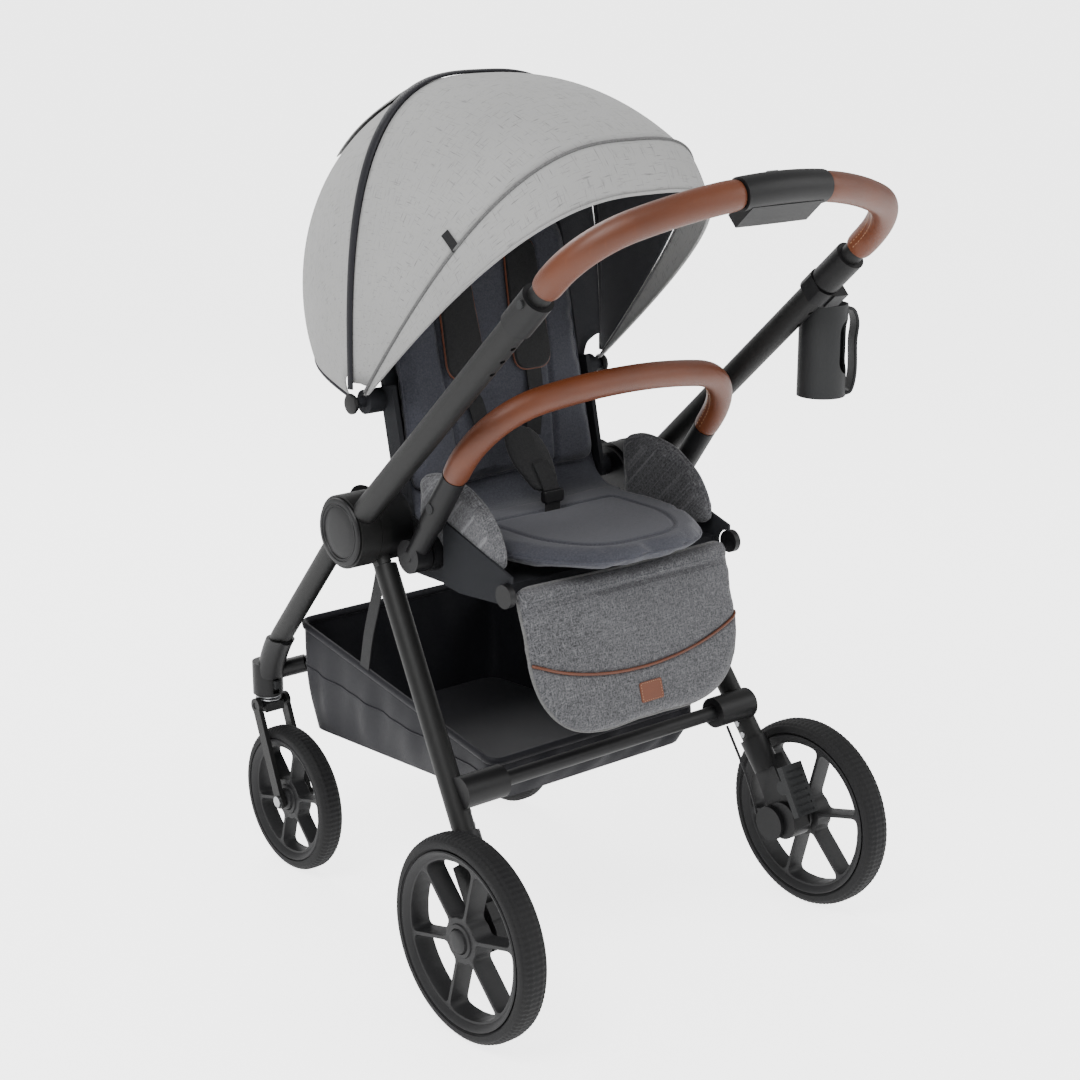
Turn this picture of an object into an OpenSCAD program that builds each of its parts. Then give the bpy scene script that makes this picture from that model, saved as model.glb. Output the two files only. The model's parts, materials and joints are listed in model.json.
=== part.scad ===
// Folding baby stroller with a reversible seat unit, canopy, basket and swivel casters.
// Origin: floor level, midway between the handle's back and the casters' front.
// X is across (right is +), Y is the direction of travel, Z is up.

/* [Frame] */
// Distance of the hub axis in front of the origin
hub_y = 80; // [60:1:100]
// Height of the hub axis above the floor
hub_z = 574; // [500:1:640]
// Radius of the round fold hubs
hub_r = 48; // [40:1:52]
// Distance of the rear axle behind the origin
rear_axle_back = 221; // [190:1:250]
// Distance of each handle tube from the middle plane
handle_x = 253; // [245:1:280]
// Diameter of the lower handle tubes
handle_tube_d = 34; // [28:1:38]
// Diameter of the front and rear leg tubes
leg_d = 30; // [24:1:32]

/* [Wheels] */
// Radius of the rear wheels
rear_wheel_r = 132; // [110:1:150]
// Width of the rear tyres
rear_wheel_w = 40; // [32:1:44]
// Distance of the rear wheels' middle from the middle plane
rear_track = 300; // [290:1:330]
// Radius of the front wheels
front_wheel_r = 106.6; // [88:0.1:115]
// Width of the front tyres
front_wheel_w = 34; // [28:1:38]
// Distance of the caster stems from the middle plane
caster_x = 195; // [170:1:200]
// Distance of the caster stems in front of the origin
caster_y = 389; // [370:1:400]
// How far each front axle trails behind its caster stem
caster_trail = 59; // [45:1:65]
// Height of the fork pivot above the floor
fork_pivot_z = 238; // [230:1:260]

/* [Handle] */
// Slope of the handle above level, degrees
handle_angle = 42.7; // [30:0.1:50]
// Length from the hub axis to the end of the lower tubes
handle_lower_len = 494; // [440:1:520]
// Length from the hub axis to the crossbar's middle
handle_reach = 678; // [650:1:720]
// Radius of the handle's corners
handle_corner_r = 100; // [80:1:110]
// Radius of the crossbar's gentle bow
handle_bow_r = 462; // [400:1:900]
// Diameter of the telescopic tube
handle_bar_d = 28; // [22:1:30]
// Diameter over the leather of the handle
handle_grip_d = 36; // [32:1:40]
// Length of the fold console across the handle
console_len = 130; // [110:1:150]

/* [Seat] */
// Half width of the seat cushion
cushion_half_w = 152; // [130:1:158]
// Height of the cushion's top
cushion_top = 576; // [570:1:600]
// Thickness of the cushion
cushion_t = 36; // [25:1:40]
// Lean of the backrest from upright, degrees
backrest_lean = 12.6; // [5:0.1:20]
// Length of the backrest above its hinge
backrest_len = 392; // [340:1:400]
// Half width of the backrest
backrest_half_w = 166; // [140:1:167]
// Length of the leg rest below its hinge
legrest_len = 200; // [160:1:215]
// Half width of the leg rest
legrest_half_w = 181; // [150:1:182]
// Thickness of the leg rest
legrest_t = 26; // [18:1:30]
// Slope of the bumper bar above level, degrees
bumper_angle = 54.7; // [45:0.1:65]
// Length from the bumper's pivot to its crossbar
bumper_reach = 275; // [250:1:290]
// Distance of the bumper's legs from the middle plane
bumper_x = 212; // [206:1:214]
// Diameter over the leather of the bumper
bumper_grip_d = 34; // [28:1:36]

/* [Canopy] */
// Height of the canopy rib above the canopy pivot
rib_r = 413; // [380:1:420]
// Half width of the canopy at the rib
rib_half_w = 216; // [212:1:218]
// Length from the canopy pivot to the front bow's top
bow_r = 453; // [420:1:460]
// Half width of the canopy at the front bow
bow_half_w = 203; // [200:1:206]
// Angle from straight ahead up to the front bow
bow_angle = 130.5; // [118:0.5:134]
// Thickness of the canopy cloth with its lining
cloth_t = 4; // [3:0.5:6]

/* [Basket] */
// Half width of the basket
basket_half_w = 178; // [150:1:180]
// Height of the basket's front rim
basket_rim_z = 372; // [350:1:385]
// Thickness of the basket's cloth
basket_t = 4; // [3:0.5:6]

/* [Cup holder] */
// Outer radius of the cup holder at its mouth
cup_r = 32; // [28:0.5:32]
// Height of the cup holder
cup_h = 122; // [100:1:130]
// Wall of the cup holder
cup_wall = 2.5; // [2:0.5:4]

/* [Fits] */
// Radial clearance of shafts that turn in bores
run_gap = 0.05; // [0.02:0.01:0.1]
// Gap between pieces of one body that touch
seat_gap = 0.1; // [0.05:0.05:0.3]
// Gap between pieces that move past each other
move_gap = 0.6; // [0.4:0.1:1]
// Length of the sleeves that join lengths of bent bar
joint_len = 3; // [2:0.5:6]

/* [Hidden] */
$fn = 48;

// ---- frame values ----
rear_axle_y = -rear_axle_back;
spindle_r = 12;
joint_gap = joint_len / 12;
handle_ring_x0 = handle_x - 15;
handle_ring_x1 = handle_x + 15;
leg_ring_x1 = handle_ring_x0 - move_gap;
leg_ring_w = 15;
leg_ring_x0 = leg_ring_x1 - leg_ring_w;
chassis_ring_x1 = leg_ring_x0 - move_gap;
chassis_ring_x0 = chassis_ring_x1 - 32;
front_leg_top_x = chassis_ring_x1 - leg_d / 2;
rear_leg_top_x = leg_ring_x1 - leg_d / 2;
collar_z1 = fork_pivot_z + 62;
collar_z0 = fork_pivot_z + 14;
collar_r = 22;
stem_r = 8;
// Rear leg foot, where the leg enters its wheel housing
foot = [rear_track - 44, rear_axle_y + 48, rear_wheel_r + 72];
rear_leg_start = [rear_leg_top_x + 2, hub_y - 34, hub_z - 46];
// ---- front leg: straight, then a bend down into the caster collar ----
leg_a = [front_leg_top_x, hub_y + 42, hub_z + 23];
leg_slope = 47.9;
leg_bend_r = 200;
leg_end_y = caster_y - 7;
leg_end_z = collar_z0 + 33;
leg_yaw = atan2(front_leg_top_x - caster_x, leg_end_y - leg_a.y);
leg_run = (leg_end_y - leg_a.y) / cos(leg_yaw);
// Turn of the bend that makes the end land on both leg_end_y and leg_end_z
leg_turn = 24;
leg_straight = (leg_run - leg_bend_r * (sin(leg_slope + leg_turn) - sin(leg_slope))) / cos(leg_slope);
// ---- handle ----
handle_corner_x = handle_x - handle_corner_r;
handle_s1 = handle_reach - handle_bow_r
    + sqrt(pow(handle_bow_r - handle_corner_r, 2) - pow(handle_corner_x, 2));
handle_corner_turn = atan2(handle_s1 - (handle_reach - handle_bow_r), handle_corner_x);
grip_start = handle_lower_len + 34;
console_turn = asin(console_len / 2 / handle_bow_r);
// ---- bumper ----
bumper_y = -2;
bumper_z = 551;
bumper_corner_r = 100;
bumper_bow_r = 700;
bumper_corner_x = bumper_x - bumper_corner_r;
bumper_s1 = bumper_reach - bumper_bow_r
    + sqrt(pow(bumper_bow_r - bumper_corner_r, 2) - pow(bumper_corner_x, 2));
bumper_corner_turn = atan2(bumper_s1 - (bumper_reach - bumper_bow_r), bumper_corner_x);
bumper_tube_d = 22;
bumper_grip_start = 146;
bumper_pin_r = 7;
// ---- seat ----
adapter_x1 = chassis_ring_x0 - move_gap;
adapter_x0 = adapter_x1 - 6;
wing_t = 16;
recline_y = hub_y + 2;
recline_z = hub_z + 18;
legrest_y = -160;
legrest_z = 531;
legrest_lean = 15.7;
cushion_back = hub_y - 34;
cushion_front = -228;
shell_bottom = cushion_top - cushion_t - 26;
// ---- canopy ----
canopy_y = 129;
canopy_z = 725;
rib_t = 5;
mount_r = 16;
// ---- basket ----
beam_y = hub_y - 221;
beam_z = hub_z - 292;
lip_y = beam_y;

// ---------------------------------------------------------------- helpers

// Both sides of the stroller from one right-hand piece
module sides() {
    children();
    mirror([1, 0, 0]) children();
}

// One side only: 1 is right, -1 is left
module side(s) {
    if (s > 0) children();
    else mirror([1, 0, 0]) children();
}

// Round bar along X
module xbar(r, x0, x1, y, z) {
    translate([x0, y, z]) rotate([0, 90, 0]) cylinder(r = r, h = x1 - x0);
}

// Straight round bar between two points
module rod(p, q, r) {
    v = q - p;
    translate(p) rotate([0, acos(v.z / norm(v)), atan2(v.y, v.x)]) cylinder(r = r, h = norm(v));
}

// Point on a smooth curve with four control points
function curve_at(a, b, c, d, t) =
    pow(1 - t, 3) * a + 3 * pow(1 - t, 2) * t * b + 3 * (1 - t) * t * t * c + t * t * t * d;

// Thin bar swept along points that never run along X
module swept_bar(points, r, n) {
    m = len(points);
    function along(i) = let (d = points[min(i + 1, m - 1)] - points[max(i - 1, 0)]) d / norm(d);
    function ring(i) = let (t = along(i), u = cross(t, [1, 0, 0]) / norm(cross(t, [1, 0, 0])), v = cross(t, u))
        [for (k = [0 : n - 1]) points[i] + r * cos(360 * k / n) * u + r * sin(360 * k / n) * v];
    polyhedron([for (i = [0 : m - 1]) each ring(i)], concat(
        [[for (k = [n - 1 : -1 : 0]) k]], [[for (k = [0 : n - 1]) (m - 1) * n + k]],
        [for (i = [0 : m - 2]) for (k = [0 : n - 1]) let (l = (k + 1) % n)
            [i * n + k, i * n + l, (i + 1) * n + l, (i + 1) * n + k]]));
}

// Outline in the YZ plane, extruded from x0 to x1
module yz_plate(points, x0, x1) {
    translate([x0, 0, 0]) rotate([90, 0, 90]) linear_extrude(x1 - x0) polygon(points);
}

// Frame whose local Y runs up the handle from the hub axis
module handle_frame() {
    translate([0, hub_y, hub_z]) rotate([180 - handle_angle, 0, 0]) children();
}

// Frame whose local Y runs up the bumper bar from its pivot
module bumper_frame() {
    translate([0, bumper_y, bumper_z]) rotate([180 - bumper_angle, 0, 0]) children();
}

// Frame whose local Y runs up the backrest from the recline hinge, and Z out of its padded face
module backrest_frame() {
    translate([0, recline_y, recline_z]) rotate([90 - backrest_lean, 0, 0]) children();
}

// Frame whose local Z runs down the leg rest from its hinge
module legrest_frame() {
    translate([0, legrest_y, legrest_z]) rotate([-legrest_lean, 0, 0]) children();
}

// Short sleeve that joins two lengths of bar along local Y
module ferrule(d) {
    translate([0, -joint_len / 2, 0]) rotate([-90, 0, 0]) cylinder(d = d + 0.1, h = joint_len);
}

// U bar in the local XY plane: legs from s0, corners and a gently bowed crossbar.
// stop_turn leaves the crossbar's middle out.
module u_bar(x, corner_r, s1, turn, bow_r, reach, s0, d, stop_turn) {
    corner_gap = joint_gap / corner_r * 180 / PI;
    bow_gap = joint_gap / bow_r * 180 / PI;
    sides() {
        translate([x, s0, 0]) rotate([-90, 0, 0]) cylinder(d = d, h = s1 - s0 - joint_gap);
        translate([x, s1, 0]) ferrule(d);
        translate([x - corner_r, s1, 0]) {
            rotate([0, 0, corner_gap]) rotate_extrude(angle = turn - 2 * corner_gap, $fn = 96)
                translate([corner_r, 0]) circle(d = d);
            rotate([0, 0, turn]) translate([corner_r, 0, 0]) ferrule(d);
        }
        if (stop_turn > 0) translate([0, reach - bow_r, 0]) rotate([0, 0, turn + bow_gap])
            rotate_extrude(angle = 90 - turn - stop_turn - bow_gap, $fn = 240)
                translate([bow_r, 0]) circle(d = d);
    }
    if (stop_turn == 0) translate([0, reach - bow_r, 0]) rotate([0, 0, turn + bow_gap])
        rotate_extrude(angle = 180 - 2 * (turn + bow_gap), $fn = 240) translate([bow_r, 0]) circle(d = d);
}

// The handle's U and the bumper's U, at diameter d from s0 up
module handle_u(s0, d, stop_turn) {
    handle_frame() u_bar(handle_x, handle_corner_r, handle_s1, handle_corner_turn, handle_bow_r,
        handle_reach, s0, d, stop_turn);
}

module bumper_u(s0, d) {
    bumper_frame() u_bar(bumper_x, bumper_corner_r, bumper_s1, bumper_corner_turn, bumper_bow_r,
        bumper_reach, s0, d, 0);
}

// ---------------------------------------------------------------- chassis

module hub_housings() {
    color("#1d1d1f") sides() {
        difference() {
            union() {
                xbar(hub_r - 1, chassis_ring_x0, chassis_ring_x1, hub_y, hub_z);
                xbar(spindle_r, chassis_ring_x0, handle_ring_x1 - 2, hub_y, hub_z);
                // Socket for the front leg
                rod(leg_a + [0, -6, 6.6], leg_a + [-1.8, 20, -22], leg_d / 2 + 3.5);
            }
            front_leg_bar(leg_d / 2 + seat_gap);
            // Flat inner face, beside the seat adapters
            xbar(3 * hub_r, chassis_ring_x0 - 30, chassis_ring_x0 - 0.01, hub_y, hub_z);
            // Trims the socket where the turning ring passes
            xbar(hub_r + 2, chassis_ring_x1 + 0.01, chassis_ring_x1 + 4, hub_y, hub_z);
            xbar(2 * hub_r, chassis_ring_x1 + 2, chassis_ring_x1 + 30, hub_y, hub_z);
        }
        xbar(spindle_r, chassis_ring_x1 - 1, handle_ring_x1 - 2, hub_y, hub_z);
    }
}

// The front leg's bar at radius r: a straight, then an arc, in a plane turned a little inwards
module front_leg_bar(r) {
    translate(leg_a) rotate([0, 0, leg_yaw]) rotate([90, 0, 90]) rotate([0, 0, -leg_slope]) {
        rotate([0, 90, 0]) cylinder(r = r, h = leg_straight - joint_gap);
        translate([leg_straight, 0, 0]) rotate([0, 0, -90]) ferrule(2 * r);
        translate([leg_straight, -leg_bend_r, 0]) rotate([0, 0, 90 - leg_turn])
            rotate_extrude(angle = leg_turn - joint_gap / leg_bend_r * 180 / PI, $fn = 120)
                translate([leg_bend_r, 0]) circle(r = r);
    }
}

module front_legs() {
    color("#2a2a2c") sides() front_leg_bar(leg_d / 2);
}

// Caster collars joined by the low front crossbar
module front_beam() {
    color("#1d1d1f") difference() {
        union() {
            sides() {
                translate([caster_x, caster_y, collar_z0]) cylinder(r = collar_r, h = collar_z1 - collar_z0);
                rod([caster_x - 14, caster_y - 10, collar_z0 + 34],
                    [caster_x - 44, caster_y - 34, collar_z0 + 44], 13);
                // Sleeve that follows the leg into the collar
                intersection() {
                    front_leg_bar(leg_d / 2 + 4);
                    translate([caster_x - 40, caster_y - 60, collar_z0 + 27]) cube([80, 90, 66]);
                }
            }
            xbar(11, -caster_x + 40, caster_x - 40, caster_y - 34, collar_z0 + 44);
        }
        sides() front_leg_bar(leg_d / 2 + seat_gap);
        sides() {
            // Blind bore for the caster stem
            translate([caster_x, caster_y, collar_z0 - 1]) cylinder(r = stem_r + run_gap, h = 27);
            // Guide for the swivel lock
            translate([caster_x - 5, caster_y - collar_r - 1, collar_z0 + 3]) cube([10, 6.4, 22]);
        }
    }
}

// Swivel lock: a slider on the back of the caster collar
module swivel_lock(s) {
    color("#3b3b3d") side(s) translate([caster_x - 5 + move_gap, caster_y - collar_r - 6, collar_z0 + 12])
        cube([10 - 2 * move_gap, 10.4, 12]);
}

// Open-topped cloth basket, low at the back where it hangs on the rear crossbar
module basket() {
    front_top = [caster_y - 64, basket_rim_z];
    front_low = [caster_y - 54, basket_rim_z - 152];
    floor_front = [caster_y - 106, basket_rim_z - 166];
    floor_back = [beam_y + 26, beam_z - 46];
    lip = [lip_y, beam_z - leg_d / 2 - 3];
    back_top = [beam_y + 30, beam_z + 12];
    outline = [front_top, front_low, floor_front, floor_back, lip, lip + [0, basket_t], back_top];
    t = basket_t;
    color("#141416") difference() {
        yz_plate(outline, -basket_half_w, basket_half_w);
        // The hollow, open at the top and low at the back
        yz_plate([front_top + [-t, 60], front_top + [-t, 0], front_low + [-t, 0], floor_front + [-1, t],
            floor_back + [1, t], lip + [6, t + 1], lip + [-20, t + 1], [beam_y - 20, basket_rim_z + 60]],
            -basket_half_w + t, basket_half_w - t);
    }
}

// ---------------------------------------------------------------- handle

module handle_tubes() {
    color("#2a2a2c") difference() {
        union() {
            sides() {
                xbar(hub_r, handle_ring_x0, handle_ring_x1, hub_y, hub_z);
                handle_frame() translate([handle_x, hub_r - 3, 0]) rotate([-90, 0, 0])
                    cylinder(d = handle_tube_d, h = handle_lower_len - hub_r + 3);
            }
        }
        sides() {
            xbar(spindle_r + run_gap, handle_ring_x0 - 10, handle_ring_x1 - 1.4, hub_y, hub_z);
            // Keeps the tube's inner side clear of the leg rings
            xbar(hub_r + 3, handle_ring_x0 - 20, handle_ring_x0 - 0.01, hub_y, hub_z);
            handle_frame() translate([handle_x, handle_lower_len - 210, 0]) rotate([-90, 0, 0])
                cylinder(d = handle_bar_d + 2 * seat_gap, h = 220);
            // Row of height holes on the underside
            handle_frame() for (i = [0 : 2]) translate([handle_x, handle_lower_len - 110 + 26 * i, 0])
                cylinder(d = 7, h = 30);
        }
    }
}

module hub_caps() {
    color("#232325") sides() difference() {
        xbar(hub_r - 4, handle_ring_x1 + seat_gap, handle_ring_x1 + 4, hub_y, hub_z);
        difference() {
            xbar(hub_r - 9, handle_ring_x1 + 3, handle_ring_x1 + 5, hub_y, hub_z);
            xbar(hub_r - 12, handle_ring_x1 + 2, handle_ring_x1 + 6, hub_y, hub_z);
        }
    }
}

module tube_collars() {
    color("#1d1d1f") sides() handle_frame() difference() {
        translate([handle_x, handle_lower_len - 34, 0]) rotate([-90, 0, 0])
            cylinder(d = handle_tube_d + 6, h = 52);
        translate([handle_x, handle_lower_len - 40, 0]) rotate([-90, 0, 0])
            cylinder(d = handle_tube_d + 2 * seat_gap, h = 40 + seat_gap);
        translate([handle_x, handle_lower_len - 1, 0]) rotate([-90, 0, 0])
            cylinder(d = handle_bar_d + 2 * seat_gap, h = 30);
        // Pocket for the release button, on the outer side
        translate([handle_x, handle_lower_len + 9, 0]) rotate([0, 90, 0]) cylinder(r = 5.5, h = 40);
    }
}

// Push button that frees the telescopic tube
module handle_button(s) {
    color("#3b3b3d") side(s) handle_frame() translate([handle_x, handle_lower_len + 9, 0])
        rotate([0, 90, 0]) translate([0, 0, handle_bar_d / 2 + 3]) cylinder(r = 5.5 - move_gap / 2, h = 5.5);
}

cup_s = handle_lower_len - 62;
cup_axis = [handle_x + handle_tube_d / 2 + 31.5, hub_y - (cup_s - 6) * cos(handle_angle) + 22,
    hub_z + (cup_s - 6) * sin(handle_angle) - 18];

module cup_clamp() {
    color("#1b1b1d") handle_frame() difference() {
        union() {
            translate([handle_x, cup_s, 0]) rotate([-90, 0, 0]) cylinder(d = handle_tube_d + 9, h = 24);
            translate([handle_x + 2, cup_s, 4]) cube([26, 24, 20]);
        }
        translate([handle_x, cup_s - 1, 0]) rotate([-90, 0, 0])
            cylinder(d = handle_tube_d + 2 * seat_gap, h = 26);
        translate([handle_x + 28, cup_s - 1, -2]) cube([20, 26, 40]);
        cup_cut(1.0);
        // Inner face stays clear of the canopy and seat side
        translate([handle_x - 40, cup_s - 1, -40]) cube([40 - handle_tube_d / 2 - 1, 26, 80]);
    }
}

// The cup's outer round, used to trim the clamp
module cup_cut(gap) {
    rotate([handle_angle - 180, 0, 0]) translate([0, -hub_y, -hub_z])
        translate(cup_axis - [0, 0, cup_h]) cylinder(r = cup_r + seat_gap * gap, h = cup_h + 40);
}

// Cup holder with a round floor ring and an open window in its outer side
module cup_holder() {
    color("#1f2022") difference() {
        translate(cup_axis - [0, 0, cup_h]) cylinder(r = cup_r, h = cup_h);
        translate(cup_axis - [0, 0, cup_h - cup_wall]) cylinder(r = cup_r - cup_wall, h = cup_h);
        translate(cup_axis - [0, 0, cup_h + 1]) cylinder(r = cup_r - 12, h = 10);
        // Side window with rounded ends
        translate(cup_axis - [0, 0, 74]) rotate([90, 0, 30]) {
            cylinder(r = 17, h = 80);
            translate([-17, 0, 0]) cube([34, 38, 80]);
            translate([0, 38, 0]) cylinder(r = 17, h = 80);
        }
        // Room for the tube
        handle_frame() translate([handle_x, cup_s - 160, 0]) rotate([-90, 0, 0])
            cylinder(d = handle_tube_d + 2, h = 260);
        handle_frame() translate([handle_x, handle_lower_len - 36, 0]) rotate([-90, 0, 0])
            cylinder(d = handle_tube_d + 8, h = 60);
    }
}

module handle_bar() {
    color("#26262a") handle_u(handle_lower_len - 170, handle_bar_d, 0);
}

module handle_leather() {
    color("#7b4427") difference() {
        handle_u(grip_start, handle_grip_d, console_turn + 0.2);
        handle_u(grip_start - 2, handle_bar_d + 2 * seat_gap, 0);
    }
}

// Fold console: a shell around the crossbar's middle with a pocket for the trigger
module fold_console() {
    color("#1d1d1f") handle_frame() difference() {
        union() {
            translate([0, handle_reach - handle_bow_r, 0]) rotate([0, 0, 90 - console_turn])
                rotate_extrude(angle = 2 * console_turn, $fn = 360) translate([handle_bow_r, 0]) circle(d = handle_grip_d + 3);
            translate([-console_len / 2 + 8, handle_reach - 40, 2]) cube([console_len - 16, 36, 18]);
        }
        translate([0, handle_reach - handle_bow_r, 0]) rotate([0, 0, 90 - 2 * console_turn])
            rotate_extrude(angle = 4 * console_turn, $fn = 360) translate([handle_bow_r, 0])
                circle(d = handle_bar_d + 2 * seat_gap);
        // Trigger pocket, open towards the seat
        translate([-34, handle_reach - 41, 6]) cube([68, 16, 11]);
        // Slot for the safety slider, on the face turned to the sky
        translate([-16, handle_reach - 5, -handle_grip_d / 2 - 2]) cube([32, 10, 4.4]);
    }
}

module fold_trigger() {
    color("#2f2f31") handle_frame() translate([-34 + move_gap, handle_reach - 46, 6 + move_gap])
        cube([68 - 2 * move_gap, 14, 11 - 2 * move_gap]);
}

module safety_slider() {
    color("#8b8d8f") handle_frame() translate([-15, handle_reach - 5 + move_gap, -handle_grip_d / 2 - 3.4])
        cube([18, 10 - 2 * move_gap, 4.4]);
}

// ---------------------------------------------------------------- rear frame

module rear_legs() {
    color("#2a2a2c") sides() difference() {
        union() {
            xbar(hub_r, leg_ring_x0, leg_ring_x1, hub_y, hub_z);
            intersection() {
                rod([rear_leg_top_x, hub_y - 10, hub_z - 16], rear_leg_start, leg_d / 2 - 0.5);
                xbar(3 * hub_r, leg_ring_x0, leg_ring_x1, hub_y, hub_z);
            }
            rod(rear_leg_start, foot, leg_d / 2);
        }
        xbar(spindle_r + run_gap, leg_ring_x0 - 1, leg_ring_x1 + 1, hub_y, hub_z);
        screw_heads(4 + seat_gap, 6 + seat_gap);
        // Keeps the leg clear of the rings on both sides of its own
        xbar(hub_r + 2, leg_ring_x0 - 40, leg_ring_x0 - 0.01, hub_y, hub_z);
        xbar(hub_r + 2, leg_ring_x1 + 0.01, leg_ring_x1 + 40, hub_y, hub_z);
    }
}

// Crossbar between the rear legs, with a round stub at each end
module rear_crossbar() {
    color("#1d1d1f") difference() {
        union() {
            xbar(10, -foot.x + 6, foot.x - 6, beam_y, beam_z);
            sides() xbar(21, 186, foot.x - 4, beam_y, beam_z);
        }
        sides() rod(rear_leg_start, foot, leg_d / 2 + seat_gap);
        // Nothing of the stub stays on the leg's outer side
        sides() rod(rear_leg_start + [10, 0, 0], foot + [10, 0, 0], leg_d / 2);
    }
}

housing_x0 = rear_track - 57;
housing_x1 = rear_track - rear_wheel_w / 2 - 3;

// Moulded housings at the foot of the rear legs, each with a round cover on its inner side
module wheel_housings() {
    color("#1d1d1f") sides() difference() {
        union() {
            rod(foot + 0.09 * (rear_leg_start - foot), foot - 0.03 * (rear_leg_start - foot), leg_d / 2 + 4);
            xbar(26, housing_x0 + 2, housing_x1, rear_axle_y, rear_wheel_r);
            yz_plate([[rear_axle_y - 24, rear_wheel_r + 10], [rear_axle_y + 20, rear_wheel_r - 16],
                [rear_axle_y + 64, rear_wheel_r + 62], [rear_axle_y + 34, rear_wheel_r + 84]],
                housing_x0 + 8, housing_x1 - 1);
            xbar(24, housing_x0 - 5, housing_x0 + 10, rear_axle_y + 18, rear_wheel_r - 8);
        }
        rod(foot, rear_leg_start, leg_d / 2 + seat_gap);
        xbar(6 + seat_gap, housing_x0 + 5, housing_x1 + 1, rear_axle_y, rear_wheel_r);
        // Flat towards the wheel
        xbar(120, housing_x1, housing_x1 + 40, rear_axle_y + 20, rear_wheel_r + 30);
        // Blind holes for the pedal's pins
        xbar(pedal_pin_r + run_gap, housing_x0, housing_x1 - 3, pedal_y, pedal_z);
        pedal_room();
    }
}

pedal_y = rear_axle_y - 2;
pedal_z = rear_wheel_r + 50;
pedal_tilt = -30;
pedal_travel = 14;
pedal_x0 = housing_x0 - 8;
pedal_w = 38;
pedal_pin_r = 4;

// Space that the pedal sweeps, cut out of the housing
module pedal_room() {
    xbar(11.5, housing_x0 - 20, pedal_x0 + pedal_w + 1.5, pedal_y, pedal_z);
    for (a = [0, pedal_travel]) translate([housing_x0 - 20, pedal_y, pedal_z]) rotate([pedal_tilt + a, 0, 0])
        translate([0, -70, -60]) cube([pedal_x0 + pedal_w + 21.5 - housing_x0, 62, 130]);
}

module rear_axles() {
    color("#9a9c9f") sides() {
        xbar(6, housing_x0 + 6, rear_track + rear_wheel_w / 2 - 5, rear_axle_y, rear_wheel_r);
    }
}

// Foot pedal on the right housing, with a ridged tread
module brake_pedal() {
    color("#262628") difference() {
        union() {
            xbar(10, pedal_x0 + 6, pedal_x0 + pedal_w, pedal_y, pedal_z);
            xbar(pedal_pin_r, pedal_x0 + pedal_w - 1, housing_x1 - 3.4, pedal_y, pedal_z);
            translate([pedal_x0, pedal_y, pedal_z]) rotate([pedal_tilt, 0, 0])
                translate([0, -20, -44]) cube([pedal_w + 0.5, 10, 72]);
            translate([pedal_x0 + 7, pedal_y, pedal_z]) rotate([pedal_tilt, 0, 0])
                translate([0, -12, -7]) cube([pedal_w - 8, 8, 14]);
        }
        // Grooves of the tread
        translate([pedal_x0 + 5, pedal_y, pedal_z]) rotate([pedal_tilt, 0, 0]) for (i = [0 : 6])
            translate([0, -21, -40 + 9.5 * i]) cube([pedal_w - 10, 2.2, 3]);
    }
}

// Cable from the crossbar down to the right housing
module brake_cable() {
    top = [206, beam_y - 8, beam_z - 21.5];
    low = [housing_x0 - 2, rear_axle_y + 44, rear_wheel_r - 2];
    points = [for (i = [0 : 14]) curve_at(top, top + [2, -24, -40], low + [-4, 14, 52], low, i / 14)];
    color("#1a1a1a") swept_bar(points, 1.9, 8);
}

// Heads of radius r on the inner side of each rear leg
module screw_heads(r, h) {
    v = (rear_leg_start - foot) / norm(rear_leg_start - foot);
    sides() for (d = [43, 60]) {
        p = foot + v * d;
        xbar(r, p.x - leg_d / 2 - 1.4, p.x - leg_d / 2 - 1.4 + h, p.y, p.z);
    }
}

module leg_screws() {
    color("#55575a") screw_heads(4, 6);
}

// ---------------------------------------------------------------- wheels

// Tyre of outer radius r and width w, in the YZ plane about the local origin
module tyre(r, w, depth) {
    crown = w * 0.3;
    rotate([0, 90, 0]) rotate_extrude($fn = 120) polygon(concat(
        [[r - depth, -w / 2 + 2], [r - depth, w / 2 - 2], [r - depth + 4, w / 2]],
        [for (i = [0 : 6]) [r - 10 + 10 * sin(15 * i), w / 2 - (w / 2 - crown) * (1 - cos(15 * i))]],
        [for (i = [6 : -1 : 0]) [r - 10 + 10 * sin(15 * i), -w / 2 + (w / 2 - crown) * (1 - cos(15 * i))]],
        [[r - depth + 4, -w / 2]]));
}

// Rim with thin blade spokes round a pocketed hub
module rim(r_out, w, hub_w, bore_r) {
    difference() {
        union() {
            rotate([0, 90, 0]) difference() {
                cylinder(r = r_out, h = w - 8, center = true, $fn = 120);
                cylinder(r = r_out - 9, h = w, center = true, $fn = 120);
            }
            rotate([0, 90, 0]) cylinder(r = 20, h = hub_w, center = true);
            for (i = [0 : 5]) rotate([60 * i + 15, 0, 0]) {
                translate([-(w - 14) / 2, -2.5, 15]) cube([w - 14, 5, r_out - 20]);
                translate([-(w - 12) / 2, -9, 12]) cube([w - 12, 18, 22]);
            }
        }
        // Pockets between the spokes, round the hub
        for (i = [0 : 5]) rotate([60 * i + 45, 0, 0]) translate([w / 2 - 8, 0, 24]) rotate([0, 90, 0])
            cylinder(r = 5, h = 20);
        rotate([0, 90, 0]) cylinder(r = bore_r, h = hub_w + 2, center = true);
    }
}

module rear_wheel_at(s) {
    side(s) translate([rear_track, rear_axle_y, rear_wheel_r]) children();
}

module rear_tyre(s) {
    color("#151516") rear_wheel_at(s) tyre(rear_wheel_r, rear_wheel_w, 19);
}

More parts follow.
